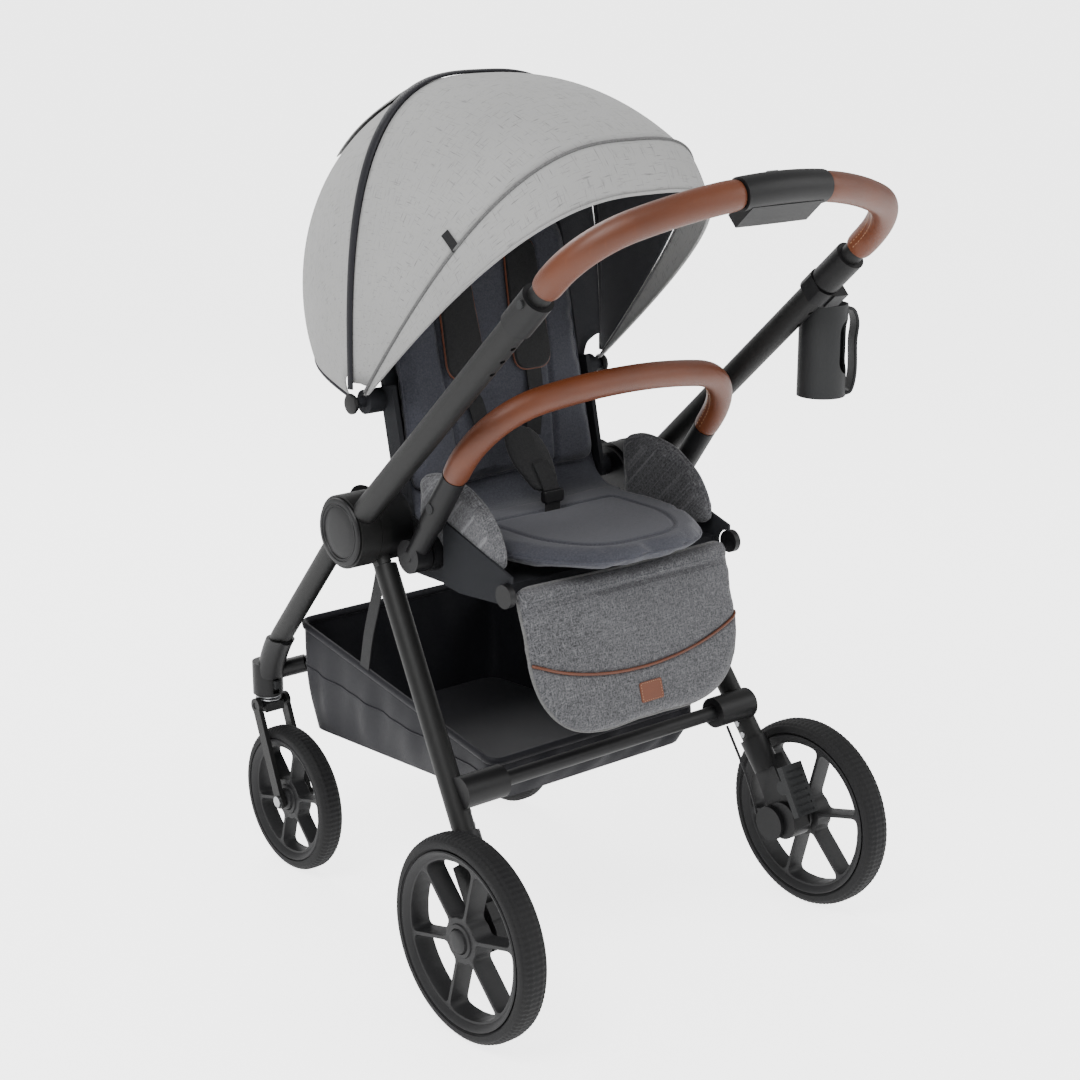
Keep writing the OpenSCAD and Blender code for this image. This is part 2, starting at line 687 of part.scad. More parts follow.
module rear_rim(s) {
    color("#242527") rear_wheel_at(s) difference() {
        union() {
            rim(rear_wheel_r - 19 - seat_gap, rear_wheel_w, rear_wheel_w - 3, 6 + run_gap);
            // Round cap over the axle's end
            translate([rear_wheel_w / 2 - 3, 0, 0]) rotate([0, 90, 0]) cylinder(r = 15, h = 4);
        }
        translate([-rear_wheel_w, 0, 0]) rotate([0, 90, 0]) cylinder(r = 6 + run_gap, h = 2 * rear_wheel_w - 4);
    }
}

fork_arm_x = front_wheel_w / 2 + 3;
front_axle_y = caster_y - caster_trail;
fork_pivot_y = caster_y - 6;

// Turning yoke under the collar: stem, cheek plates and fork pivot pin
module caster_yoke(s) {
    color("#1d1d1f") side(s) difference() {
        union() {
            translate([caster_x, caster_y, collar_z0 - 12]) cylinder(r = stem_r, h = 12 + 25);
            translate([caster_x, caster_y, collar_z0 - 16]) cylinder(r = collar_r - 3, h = 6);
            translate([caster_x - 15, caster_y - 17, fork_pivot_z - 10]) cube([30, 26, 13]);
            xbar(5, caster_x - fork_arm_x - 6, caster_x + fork_arm_x + 6, fork_pivot_y, fork_pivot_z);
        }
        // Room for the wheel under the yoke
        xbar(front_wheel_r + 3, caster_x - 40, caster_x + 40, front_axle_y, front_wheel_r);
    }
}

// Trailing fork: an arm each side of the wheel, joined over the tyre
module caster_fork(s) {
    color("#242527") side(s) difference() {
        union() for (m = [-1, 1]) {
            x0 = caster_x + m * fork_arm_x + (m > 0 ? 0 : -7);
            xbar(11, x0, x0 + 7, fork_pivot_y, fork_pivot_z);
            xbar(11, x0, x0 + 7, front_axle_y, front_wheel_r);
            v = [0, front_axle_y - fork_pivot_y, front_wheel_r - fork_pivot_z];
            translate([x0, fork_pivot_y, fork_pivot_z]) rotate([atan2(v.z, v.y), 0, 0])
                translate([0, 0, -8.5]) cube([7, norm(v), 17]);
        }
        xbar(5 + run_gap, caster_x - 40, caster_x + 40, fork_pivot_y, fork_pivot_z);
        xbar(5 + seat_gap, caster_x - 40, caster_x + 40, front_axle_y, front_wheel_r);
    }
}

// Coil spring seen under the collar, worked out as stacked rings
module caster_spring(s) {
    color("#b5b7ba") side(s) translate([caster_x, caster_y, collar_z0 - 10]) for (i = [0 : 1])
        translate([0, 0, 2.4 + 4.6 * i]) rotate_extrude() translate([collar_r - 4.8, 0]) circle(r = 1.6);
}

module front_axle(s) {
    color("#9a9c9f") side(s) {
        xbar(5, caster_x - fork_arm_x - 8, caster_x + fork_arm_x + 8, front_axle_y, front_wheel_r);
        xbar(8, caster_x + fork_arm_x + 7.2, caster_x + fork_arm_x + 10, front_axle_y, front_wheel_r);
        xbar(8, caster_x - fork_arm_x - 10, caster_x - fork_arm_x - 7.2, front_axle_y, front_wheel_r);
    }
}

module front_wheel_at(s) {
    side(s) translate([caster_x, front_axle_y, front_wheel_r]) children();
}

module front_tyre(s) {
    color("#151516") front_wheel_at(s) tyre(front_wheel_r, front_wheel_w, 17);
}

module front_rim(s) {
    color("#242527") front_wheel_at(s) rim(front_wheel_r - 17 - seat_gap, front_wheel_w, front_wheel_w, 5 + run_gap);
}

// ---------------------------------------------------------------- seat

// Seat adapters: discs beside the hubs, with an arm forward to the bumper pivots
module seat_adapters() {
    color("#1a1a1c") sides() {
        difference() {
            union() {
                xbar(hub_r - 6, adapter_x0, adapter_x1, hub_y, hub_z);
                yz_plate([[hub_y, hub_z + 30], [hub_y, hub_z - 36], [bumper_y - 4, bumper_z - 24],
                    [bumper_y - 22, bumper_z], [bumper_y + 4, bumper_z + 24]], adapter_x0, adapter_x1);
                // Boss under the bumper's leg
                xbar(24, adapter_x0, bumper_x - 14, bumper_y, bumper_z);
                xbar(bumper_pin_r, bumper_x - 15, bumper_x + 13, bumper_y, bumper_z);
                // Hinge stub for the backrest
                xbar(6, adapter_x0 - 16, adapter_x0 + 1, recline_y, recline_z);
            }
        }
    }
}

// Seat shell: a tray under the cushion with low sides
module seat_shell() {
    side_outline = [[bumper_y - 26, cushion_top + 22], [legrest_y - 4, legrest_z + 24],
        [legrest_y - 4, legrest_z - 14], [-60, shell_bottom - 4], [bumper_y - 26, shell_bottom]];
    color("#232427") difference() {
        union() {
            sides() yz_plate(side_outline, adapter_x0, adapter_x0 + 4);
            translate([-adapter_x0 - 0.5, legrest_y + 22, shell_bottom])
                cube([2 * adapter_x0 + 1, cushion_back - legrest_y - 30, 22]);
        }
        sides() xbar(24 + seat_gap, adapter_x0 - 1, bumper_x, bumper_y, bumper_z);
        sides() yz_plate([[hub_y, hub_z + 30], [hub_y, hub_z - 40], [bumper_y - 4, bumper_z - 25],
            [bumper_y - 23, bumper_z], [bumper_y + 4, bumper_z + 25]], adapter_x0 - 0.1, adapter_x1 + 0.5);
        // Room for the leg rest's hinge roll
        xbar(legrest_t / 2 + 3, -240, 240, legrest_y, legrest_z);
    }
}

// Cushion with a rounded front that overhangs the leg rest
module seat_cushion() {
    z0 = cushion_top - cushion_t;
    color("#45474f") difference() {
        translate([0, 0, z0]) linear_extrude(cushion_t) union() {
            translate([-cushion_half_w, cushion_front + 110])
                square([2 * cushion_half_w, cushion_back - cushion_front - 110]);
            intersection() {
                translate([0, cushion_front + 190]) circle(r = 190, $fn = 120);
                translate([-cushion_half_w, cushion_front]) square([2 * cushion_half_w, 150]);
            }
        }
        // Room under the front edge for the leg rest
        translate([-200, cushion_front - 5, z0 - 1]) cube([400, legrest_y + 18 - cushion_front + 5, 19]);
        // Slot for the crotch strap
        translate([-16, -22, z0 - 1]) cube([32, 6, cushion_t + 2]);
    }
}

// Padded wings on both sides of the seat
module seat_wings() {
    top_z = 656;
    color("#4a4b4e") sides() yz_plate([[cushion_back - 12, cushion_top - 28],
        [cushion_back - 12, top_z - 14], [cushion_back - 34, top_z - 4], [-20, top_z], [-70, top_z - 10],
        [-112, top_z - 36], [-142, top_z - 72], [-142, cushion_top - 18], [-120, cushion_top - 28]],
        adapter_x0 - 1 - wing_t, adapter_x0 - 1);
}

// Crotch webbing, adjuster and pad, lying back over the cushion
module crotch_harness() {
    color("#161617") {
        translate([-12, -20.5, cushion_top - 20]) cube([24, 3, 31]);
        translate([-17, -23.5, cushion_top + 11.2]) cube([34, 9, 18]);
        translate([-34, -23, cushion_top + 29.6]) rotate([-38, 0, 8]) translate([0, 0, 2]) cube([64, 10, 84]);
    }
}

module legrest_knobs() {
    color("#1a1a1c") sides() {
        xbar(15, adapter_x0 + 4 + seat_gap, adapter_x0 + 13, legrest_y, legrest_z);
    }
}

// Leg rest with large rounded lower corners
module legrest_pad() {
    r = 118;
    w = legrest_half_w;
    color("#55565a") legrest_frame() {
        translate([0, legrest_t / 2, 0]) rotate([90, 0, 0]) linear_extrude(legrest_t) intersection() {
            union() {
                translate([-w, -legrest_len + r]) square([2 * w, legrest_len - r]);
                translate([-w + r, -legrest_len]) square([2 * w - 2 * r, legrest_len]);
                for (m = [-1, 1]) translate([m * (w - r), -legrest_len + r]) circle(r = r, $fn = 96);
            }
            translate([-w, -legrest_len]) square([2 * w, legrest_len - 12]);
        }
        translate([-w, 0, -12]) rotate([0, 90, 0]) cylinder(r = legrest_t / 2, h = 2 * w);
    }
}

// ---------------------------------------------------------------- bumper

module bumper_bar() {
    color("#1d1d1f") bumper_u(bumper_grip_start - 0.4, bumper_tube_d);
    color("#1d1d1f") bumper_frame() difference() {
        union() sides() {
            // Plastic ends that turn on the adapter pins
            translate([bumper_x, 0, 0]) rotate([0, 90, 0]) cylinder(r = 22, h = 24, center = true);
            translate([bumper_x, 0, 0]) rotate([-90, 0, 0]) cylinder(r = 14, h = bumper_grip_start - 40);
            translate([bumper_x, 60, 0]) rotate([-90, 0, 0]) cylinder(r = bumper_grip_d / 2 - 1, h = bumper_grip_start - 60.3);
        }
        sides() {
            translate([bumper_x, 0, 0]) rotate([0, 90, 0]) cylinder(r = bumper_pin_r + run_gap, h = 30, center = true);
            // Pocket for the release button, on the outer side
            translate([bumper_x + 9, 92, 0]) rotate([0, 90, 0]) cylinder(r = 7, h = 20);
        }
    }
}

module bumper_leather() {
    color("#7b4427") difference() {
        bumper_u(bumper_grip_start, bumper_grip_d);
        bumper_u(bumper_grip_start - 2, bumper_tube_d + 2 * seat_gap);
    }
}

module bumper_button(s) {
    color("#2f2f31") side(s) bumper_frame() translate([bumper_x + 12.4, 92, 0]) rotate([0, 90, 0])
        cylinder(r = 7 - move_gap / 2, h = 4.6);
}

// ---------------------------------------------------------------- backrest

pad_t = 26;

// Outline of the backrest in its own plane, from y0 up, rounded at the top
module backrest_outline(w, y0, top) {
    r = 70;
    translate([-w, y0]) square([2 * w, top - r - y0]);
    translate([-w + r, top - r]) square([2 * w - 2 * r, r]);
    for (m = [-1, 1]) translate([m * (w - r), top - r]) circle(r = r, $fn = 64);
}

// Stiff back with the hinge ears and the canopy pivots
module backrest_shell() {
    stub = rotate_to_backrest(canopy_y, canopy_z);
    color("#26282c") difference() {
        union() {
            backrest_frame() {
                translate([0, 0, -14]) linear_extrude(10) backrest_outline(backrest_half_w, -18, backrest_len);
                // Side bars up to the canopy pivots
                sides() translate([backrest_half_w - 4, -14, -14]) cube([7, stub[0] + 30, 28]);
                sides() translate([adapter_x0 - 20, 0, 0]) rotate([0, 90, 0]) cylinder(r = 15, h = 18);
            }
            sides() xbar(mount_r, backrest_half_w - 2, bow_half_w - 8.6, canopy_y, canopy_z);
            sides() xbar(7, bow_half_w - 9, rib_half_w - 1, canopy_y, canopy_z);
        }
        sides() xbar(6 + run_gap, adapter_x0 - 30, adapter_x0 + 2, recline_y, recline_z);
        backrest_frame() translate([-30, backrest_len - 66, -15]) cube([60, 26, 6]);
    }
}

// Place of a point in the backrest's own frame: along the back, behind it
function rotate_to_backrest(y, z) =
    [(y - recline_y) * sin(backrest_lean) + (z - recline_z) * cos(backrest_lean),
     (y - recline_y) * cos(backrest_lean) - (z - recline_z) * sin(backrest_lean)];

module backrest_pad() {
    color("#45474f") backrest_frame() translate([0, 0, -3.8]) linear_extrude(pad_t)
        difference() {
            backrest_outline(backrest_half_w - 8, 8, backrest_len - 8);
        }
}

// Shoulder webbing and pads on the front of the backrest
module shoulder_harness() {
    color("#161617") backrest_frame() sides() translate([0, 0, pad_t - 3.6]) {
        translate([30, 168, 0]) cube([54, 150, 9]);
        translate([44, 90, 0]) cube([26, 78.5, 2.4]);
        translate([44, 317, 0]) cube([26, 20, 2.4]);
    }
}

// Squeeze lever behind the top of the backrest
module recline_lever() {
    color("#1d1d1f") backrest_frame() translate([-30 + move_gap, backrest_len - 66 + move_gap, -20])
        cube([60 - 2 * move_gap, 12, 9]);
}

// ---------------------------------------------------------------- canopy

// Reach of the canopy from its pivot, for an angle up from straight ahead
function rear_reach(a) = lookup(a, [[14, 205], [30, 262], [45, 308], [60, 348], [75, 370], [88, 404]]);
function rear_half_w(a) = lookup(a, [[14, rib_half_w - 14], [45, rib_half_w - 9], [88, rib_half_w - 3]]);
function front_reach(a) = rib_r - 3 + (bow_r - rib_r) * (a - 92) / (bow_angle - 92);
function front_half_w(a) = rib_half_w - 3 + (bow_half_w - rib_half_w) * (a - 92) / (bow_angle - 92);
function visor_reach(a) = bow_r - 1.6 * (a - bow_angle);
function visor_half_w(a) = bow_half_w - 0.4 * (a - bow_angle);

// Point of a bow-shaped hoop: t runs from 0 on the right to 180 on the left
function hoop_point(a, half_w, reach, t) = let (c = cos(t), r = reach * pow(max(sin(t), 0), 0.667))
    [half_w * sign(c) * pow(abs(c), 0.667), canopy_y + r * cos(a), canopy_z + r * sin(a)];

// A shell between hoops, given as rings of [angle, half width, reach]
module hoop_shell(rings, t0, n, thick) {
    m = len(rings);
    function at(i, j, inner) = hoop_point(rings[i][0], rings[i][1] - inner, rings[i][2] - inner,
        t0 + (180 - 2 * t0) * j / n);
    outer = [for (i = [0 : m - 1]) for (j = [0 : n]) at(i, j, 0)];
    inside = [for (i = [0 : m - 1]) for (j = [0 : n]) at(i, j, thick)];
    k = m * (n + 1);
    function id(i, j) = i * (n + 1) + j;
    faces = concat(
        [for (i = [0 : m - 2]) for (j = [0 : n - 1]) each
            [[id(i, j), id(i + 1, j), id(i + 1, j + 1)], [id(i, j), id(i + 1, j + 1), id(i, j + 1)]]],
        [for (i = [0 : m - 2]) for (j = [0 : n - 1]) each
            [[k + id(i, j), k + id(i + 1, j + 1), k + id(i + 1, j)], [k + id(i, j), k + id(i, j + 1), k + id(i + 1, j + 1)]]],
        [for (j = [0 : n - 1]) each
            [[id(0, j), id(0, j + 1), k + id(0, j + 1)], [id(0, j), k + id(0, j + 1), k + id(0, j)]]],
        [for (j = [0 : n - 1]) each
            [[id(m - 1, j), k + id(m - 1, j + 1), id(m - 1, j + 1)], [id(m - 1, j), k + id(m - 1, j), k + id(m - 1, j + 1)]]],
        [for (i = [0 : m - 2]) each
            [[id(i, 0), k + id(i + 1, 0), id(i + 1, 0)], [id(i, 0), k + id(i, 0), k + id(i + 1, 0)]]],
        [for (i = [0 : m - 2]) each
            [[id(i, n), id(i + 1, n), k + id(i + 1, n)], [id(i, n), k + id(i + 1, n), k + id(i, n)]]]);
    polyhedron(concat(outer, inside), faces);
}

// Rib: a strip over the canopy in the plane of its pivots
module canopy_rib() {
    color("#111112") {
        hoop_shell([[88.8, rib_half_w, rib_r], [91.2, rib_half_w, rib_r]], 0.25, 44, rib_t);
        sides() difference() {
            xbar(12, rib_half_w - 6, rib_half_w - 1.4, canopy_y, canopy_z);
            xbar(7 + run_gap, rib_half_w - 10, rib_half_w + 1, canopy_y, canopy_z);
        }
    }
}

// Front bow with the short visor in front of it
module canopy_bow() {
    color("#b9b9b7") {
        hoop_shell([for (a = [bow_angle : 3 : bow_angle + 9]) [a, visor_half_w(a), visor_reach(a)]], 0.25, 44, cloth_t);
        sides() difference() {
            xbar(12, bow_half_w - 6.4, bow_half_w - 1.8, canopy_y, canopy_z);
            xbar(7 + run_gap, bow_half_w - 10, bow_half_w + 1, canopy_y, canopy_z);
        }
    }
}

module canopy_rear() {
    color("#bdbdbb") hoop_shell([for (a = [14 : 9.25 : 88.1]) [a, rear_half_w(a), rear_reach(a)]], 2, 40, cloth_t);
}

module canopy_front() {
    color("#bdbdbb") hoop_shell([for (i = [0 : 5]) let (a = 92 + (bow_angle - 92.6) * i / 5)
        [a, front_half_w(a), front_reach(a)]], 1, 40, cloth_t);
}

hub_housings();
front_legs();
front_beam();
basket();
swivel_lock(-1);  // swivel_lock_left
swivel_lock(1);  // swivel_lock_right
handle_tubes();
hub_caps();
tube_collars();
handle_button(-1);  // handle_button_left
handle_button(1);  // handle_button_right
cup_clamp();
cup_holder();
handle_bar();
handle_leather();
fold_console();
fold_trigger();
safety_slider();
rear_legs();
rear_crossbar();
wheel_housings();
rear_axles();
brake_pedal();
brake_cable();
leg_screws();
rear_tyre(-1);  // rear_tyre_left
rear_tyre(1);  // rear_tyre_right
rear_rim(-1);  // rear_rim_left
rear_rim(1);  // rear_rim_right
caster_yoke(-1);  // caster_yoke_left
caster_yoke(1);  // caster_yoke_right
caster_fork(-1);  // caster_fork_left
caster_fork(1);  // caster_fork_right
caster_spring(-1);  // caster_spring_left
caster_spring(1);  // caster_spring_right
front_axle(-1);  // front_axle_left
front_axle(1);  // front_axle_right
front_tyre(-1);  // front_tyre_left
front_tyre(1);  // front_tyre_right
front_rim(-1);  // front_rim_left
front_rim(1);  // front_rim_right
seat_adapters();
seat_shell();
seat_cushion();
seat_wings();
crotch_harness();
legrest_knobs();
legrest_pad();
bumper_bar();
bumper_leather();
bumper_button(-1);  // bumper_button_left
bumper_button(1);  // bumper_button_right
backrest_shell();
backrest_pad();
shoulder_harness();
recline_lever();
canopy_rib();
canopy_bow();
canopy_rear();
canopy_front();
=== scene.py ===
# %% [markdown]
# # A folding stroller, dressed piece by piece
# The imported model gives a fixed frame: every tube, hub and wheel already has its place in metres.
# This notebook keeps the hard parts where they are and gives them finishes, and makes the soft
# goods, the leather, the tyres and the rims anew, because those need shapes that a plain solid
# doesn't hold. Every new surface is worked out as a whole array of points.

# %% the frame
import json
from math import cos, pi, radians, sin

import bmesh
import bpy
import numpy as np
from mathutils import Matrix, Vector
from mathutils.bvhtree import BVHTree

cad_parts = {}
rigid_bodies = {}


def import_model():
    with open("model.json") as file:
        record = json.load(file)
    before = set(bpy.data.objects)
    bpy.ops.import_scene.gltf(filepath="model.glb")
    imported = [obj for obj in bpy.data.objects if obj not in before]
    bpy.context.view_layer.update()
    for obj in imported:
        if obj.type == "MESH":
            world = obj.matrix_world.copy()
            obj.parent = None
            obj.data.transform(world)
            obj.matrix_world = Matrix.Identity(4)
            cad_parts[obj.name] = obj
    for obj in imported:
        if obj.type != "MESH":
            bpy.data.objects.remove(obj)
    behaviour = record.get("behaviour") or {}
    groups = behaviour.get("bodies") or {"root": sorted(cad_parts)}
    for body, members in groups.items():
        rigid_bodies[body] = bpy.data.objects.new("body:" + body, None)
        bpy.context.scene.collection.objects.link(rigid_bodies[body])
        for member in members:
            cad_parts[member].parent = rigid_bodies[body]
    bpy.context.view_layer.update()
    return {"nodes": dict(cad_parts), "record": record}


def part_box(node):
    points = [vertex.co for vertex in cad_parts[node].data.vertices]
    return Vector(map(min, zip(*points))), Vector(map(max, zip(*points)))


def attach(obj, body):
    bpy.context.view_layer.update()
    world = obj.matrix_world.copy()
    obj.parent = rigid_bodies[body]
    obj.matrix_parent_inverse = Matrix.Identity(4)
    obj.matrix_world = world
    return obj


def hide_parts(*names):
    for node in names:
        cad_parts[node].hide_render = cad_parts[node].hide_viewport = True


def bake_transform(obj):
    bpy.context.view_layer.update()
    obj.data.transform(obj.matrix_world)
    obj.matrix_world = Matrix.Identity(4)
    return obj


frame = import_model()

SIDES = (1, "right"), (-1, "left")

# %% [markdown]
# ## Camera
# The stroller is seen from its push side, from the left and a little above, with a long lens that
# keeps the wheels nearly round. The camera is placed by its own position and two turns.

# %% camera
camera = bpy.data.objects.new("camera", bpy.data.cameras.new("camera"))
camera.location = (-1.68464, -2.02561, 1.29209)
camera.rotation_euler = (radians(90 - 16.0968), 0, radians(-39.66472))
camera.data.lens, camera.data.sensor_width, camera.data.clip_start = 68.56, 36.0, 0.05
bpy.context.scene.collection.objects.link(camera)
bpy.context.scene.camera = camera

# %% [markdown]
# ## Mesh helpers
# A surface is a grid of points, and a piece is one or more surfaces welded together. Seams and
# poles are grid columns that land on each other, so merging doubles closes them. Each face corner
# keeps its own texture coordinates in metres of cloth, which lets a weave follow the surface.

# %% grids and pieces
def grid(points, across=None, along=None):
    """Quads over points[i, j]. Texture coordinates are arc lengths: the running sum of the
    distance between neighbours, averaged over the other direction."""
    m, n, _ = points.shape
    if along is None:
        step = np.linalg.norm(np.diff(points, axis=0), axis=2).mean(1)
        along = np.concatenate([[0], np.cumsum(step)])
    if across is None:
        step = np.linalg.norm(np.diff(points, axis=1), axis=2).mean(0)
        across = np.concatenate([[0], np.cumsum(step)])
    index = np.arange(m * n).reshape(m, n)
    quad = [index[:-1, :-1], index[1:, :-1], index[1:, 1:], index[:-1, 1:]]
    u, v = np.meshgrid(across, along)
    uv = np.stack([u, v], -1)
    corner = [uv[:-1, :-1], uv[1:, :-1], uv[1:, 1:], uv[:-1, 1:]]
    return (points.reshape(-1, 3), np.stack(quad, -1).reshape(-1, 4),
            np.stack(corner, 2).reshape(-1, 4, 2))


def weld(surfaces):
    """One surface from several: points and corners follow each other, faces are renumbered."""
    counts = np.cumsum([0] + [len(s[0]) for s in surfaces[:-1]])
    return (np.concatenate([s[0] for s in surfaces]),
            np.concatenate([s[1] + c for s, c in zip(surfaces, counts)]),
            np.concatenate([s[2] for s in surfaces]))


def shown(name, data):
    """A new object in the scene."""
    made = bpy.data.objects.new(name, data)
    bpy.context.scene.collection.objects.link(made)
    return made


def piece(name, surfaces, body, slot, angle=40, merge=2e-6, outward=True, material=None):
    """A mesh object from surfaces: doubles merged, normals outwards, sharp only past an angle. It
    takes its slot's finish unless a material is given."""
    points, faces, uv = weld(surfaces) if isinstance(surfaces, list) else surfaces
    mesh = bpy.data.meshes.new(name)
    mesh.from_pydata(points.tolist(), [], faces.tolist())
    layer = mesh.uv_layers.new(name="cloth")
    layer.data.foreach_set("uv", uv.reshape(-1).astype(np.float32))
    work = bmesh.new()
    work.from_mesh(mesh)
    bmesh.ops.remove_doubles(work, verts=work.verts, dist=merge)
    bmesh.ops.dissolve_degenerate(work, edges=work.edges, dist=merge)
    if outward:
        bmesh.ops.recalc_face_normals(work, faces=work.faces)
    work.to_mesh(mesh)
    work.free()
    mesh.shade_smooth()
    mesh.set_sharp_from_angle(angle=radians(angle))
    made = shown(name, mesh)
    mesh.materials.append(material or FINISH[slot])
    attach(made, body)
    print(name, len(mesh.polygons), "faces")
    return made


def box_of(node):
    """Lowest and highest corners of a CAD node, as arrays."""
    low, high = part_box(node)
    return np.array(low), np.array(high)

# %% [markdown]
# ## Frames of the tilted parts
# The handle, bumper, backrest and leg rest are each drawn upright in their own frame and then
# tipped about the X axis. A tip by an angle sends (x, a, b) to (x, a cos - b sin, a sin + b cos).

# %% tilted frames
def tip(points, degrees, y, z):
    """Turns points about X by degrees, then moves them to (y, z)."""
    a, b = points[..., 1], points[..., 2]
    c, s = cos(radians(degrees)), sin(radians(degrees))
    return np.stack([points[..., 0], y + a * c - b * s, z + a * s + b * c], -1)


# Places of the pivots as (y, z), and how far each part leans, in degrees.
HUB, BUMPER_PIVOT = (0.080, 0.574), (-0.002, 0.551)
BACK_PIVOT, LEG_PIVOT = (0.082, 0.592), (-0.160, 0.531)
HANDLE_LEAN, BUMPER_LEAN, BACK_LEAN, LEG_LEAN = 42.7, 54.7, 12.6, 15.7


def on_handle(p):
    """Local Y runs up the handle, local Z out of its underside."""
    return tip(p, 180 - HANDLE_LEAN, *HUB)


def on_bumper(p):
    return tip(p, 180 - BUMPER_LEAN, *BUMPER_PIVOT)


def on_back(p):
    """Local Y runs up the backrest, local Z out of its padded face."""
    return tip(p, 90 - BACK_LEAN, *BACK_PIVOT)


def on_legrest(p):
    """Local Z runs up to the hinge, local -Y out of the visible face."""
    return tip(p, -LEG_LEAN, *LEG_PIVOT)

# %% [markdown]
# ## Tubes
# Leather sleeves, piping, stitches and webbing are all a profile carried along a path. The path's
# direction and one fixed side vector give a frame at every point, with no twist in flat curves.

# %% profile along a path
def about_axle(x, radius, angle, y, z):
    """Points at radius and angle about a line along X through (y, z). The inputs broadcast."""
    return np.stack(np.broadcast_arrays(x, y + radius * np.cos(angle), z + radius * np.sin(angle)), -1)


def unit(rows):
    """Every row at length 1."""
    return rows / np.linalg.norm(rows, axis=1, keepdims=True)


def run_of(points):
    """The distance along a path from its start to each of its points."""
    return np.concatenate([[0], np.cumsum(np.linalg.norm(np.diff(points, axis=0), axis=1))])


def carry(path, profile, side, taper=None, closed=True):
    """points[i, j] = path[i] + profile[j, 0] * b[i] + profile[j, 1] * n[i], where t is the path's
    direction, n = side without its part along t, and b = t x n. taper scales each ring."""
    t = unit(np.gradient(path, axis=0))
    side = np.broadcast_to(np.asarray(side, float), path.shape)
    n = side - (side * t).sum(1, keepdims=True) * t
    n = unit(n)
    b = np.cross(t, n)
    size = np.ones(len(path)) if taper is None else np.asarray(taper)
    rim = profile[None] * size[:, None, None]
    rings = path[:, None] + rim[..., :1] * b[:, None] + rim[..., 1:] * n[:, None]
    if closed:
        ends = [path[:1, None] + 0 * rings[:1], path[-1:, None] + 0 * rings[-1:]]
        rings = np.concatenate([ends[0], rings, ends[1]])
    return rings


def circle(radius, count=24, start=0.0):
    """(radius cos, radius sin) once round, with the first point repeated at the end."""
    a = np.linspace(0, 2 * pi, count + 1) + start
    return radius * np.stack([np.cos(a), np.sin(a)], -1)


def cord_tube(path, radius, side=(0, 0, 1), count=10):
    """A round cord with closed ends."""
    return grid(carry(path, circle(radius, count), side))


def ring_cord(path, radius, side, count=8):
    """A round cord along a closed path."""
    return grid(carry(path, circle(radius, count), side, closed=False))


def evenly(points, step, values=None):
    """The path, or values along it, resampled at equal steps of the path's own length."""
    run = run_of(points)
    where = np.linspace(0, run[-1], max(2, int(run[-1] / step) + 1))
    values = points if values is None else values
    return np.stack([np.interp(where, run, values[:, k]) for k in range(3)], -1)


def smooth_path(points, count=80):
    """A Catmull-Rom curve through the points: each span is the usual cubic of its four neighbours."""
    p = np.asarray(points, float)
    p = np.concatenate([[2 * p[0] - p[1]], p, [2 * p[-1] - p[-2]]])
    t = np.linspace(0, len(p) - 3 - 1e-9, count)
    i, f = np.floor(t).astype(int), (t % 1)[:, None]
    a, b, c, d = p[i], p[i + 1], p[i + 2], p[i + 3]
    return 0.5 * (2 * b + (c - a) * f + (2 * a - 5 * b + 4 * c - d) * f ** 2
                  + (3 * b - a - 3 * c + d) * f ** 3)


def stitches(path, out, length=0.0034, gap=0.0022, radius=0.00042):
    """Short spindles along a path, lifted a little along out: one spindle's points are added to
    every stitch's place at once."""
    dots = evenly(path, length + gap)
    t = unit(np.gradient(dots, axis=0))
    out = evenly(path, length + gap, np.broadcast_to(np.asarray(out, float), path.shape))
    n = unit(out)
    b = np.cross(t, n)
    s = np.linspace(-1, 1, 5)
    ring = np.sqrt(np.clip(1 - s ** 2, 0, 1)) * radius
    turn = np.linspace(0, 2 * pi, 6)
    local = np.stack([np.repeat(s * length / 2, 6), np.outer(ring, np.cos(turn)).ravel(),
                      np.outer(ring, np.sin(turn)).ravel()], -1)
    places = (dots[:, None] + local[None, :, :1] * t[:, None] + local[None, :, 1:2] * b[:, None]
              + (local[None, :, 2:] + radius * 0.3) * n[:, None])
    one = grid(np.zeros((5, 6, 3)))
    shift = (np.arange(len(dots)) * 30)[:, None, None]
    faces = (one[1][None] + shift).reshape(-1, 4)
    return places.reshape(-1, 3), faces, np.zeros((len(faces), 4, 2))

# %% [markdown]
# ## Shared effects
# Three effects return in many finishes, so each is one node group: a weave with uneven threads,
# a fine pebble grain for plastics and hides, and a slow mottling that keeps big faces from looking
# flat. A group gives out only masks and heights. The shader itself stays in each material.

# %% node helpers
def node(tree, kind, inputs=(), **settings):
    """Adds a node. inputs maps a socket's number or name to a value or to another node's output."""
    made = tree.nodes.new("ShaderNode" + kind)
    for key, value in settings.items():
        setattr(made, key, value)
    for key, value in dict(inputs).items():
        if isinstance(value, bpy.types.NodeSocket):
            tree.links.new(value, made.inputs[key])
        else:
            made.inputs[key].default_value = value
    return made


def maths(tree, operation, a, b=0.0):
    return node(tree, "Math", {0: a, 1: b}, operation=operation).outputs[0]


def effect(name, inputs, outputs):
    """An empty node group with its sockets, and its two ends."""
    made = bpy.data.node_groups.new(name, "ShaderNodeTree")
    for title, value in inputs.items():
        kind = "NodeSocketVector" if value is None else "NodeSocketFloat"
        socket = made.interface.new_socket(title, in_out="INPUT", socket_type=kind)
        if value is not None:
            socket.default_value = value
    for title in outputs:
        made.interface.new_socket(title, in_out="OUTPUT", socket_type="NodeSocketFloat")
    return made, made.nodes.new("NodeGroupInput").outputs, made.nodes.new("NodeGroupOutput").inputs

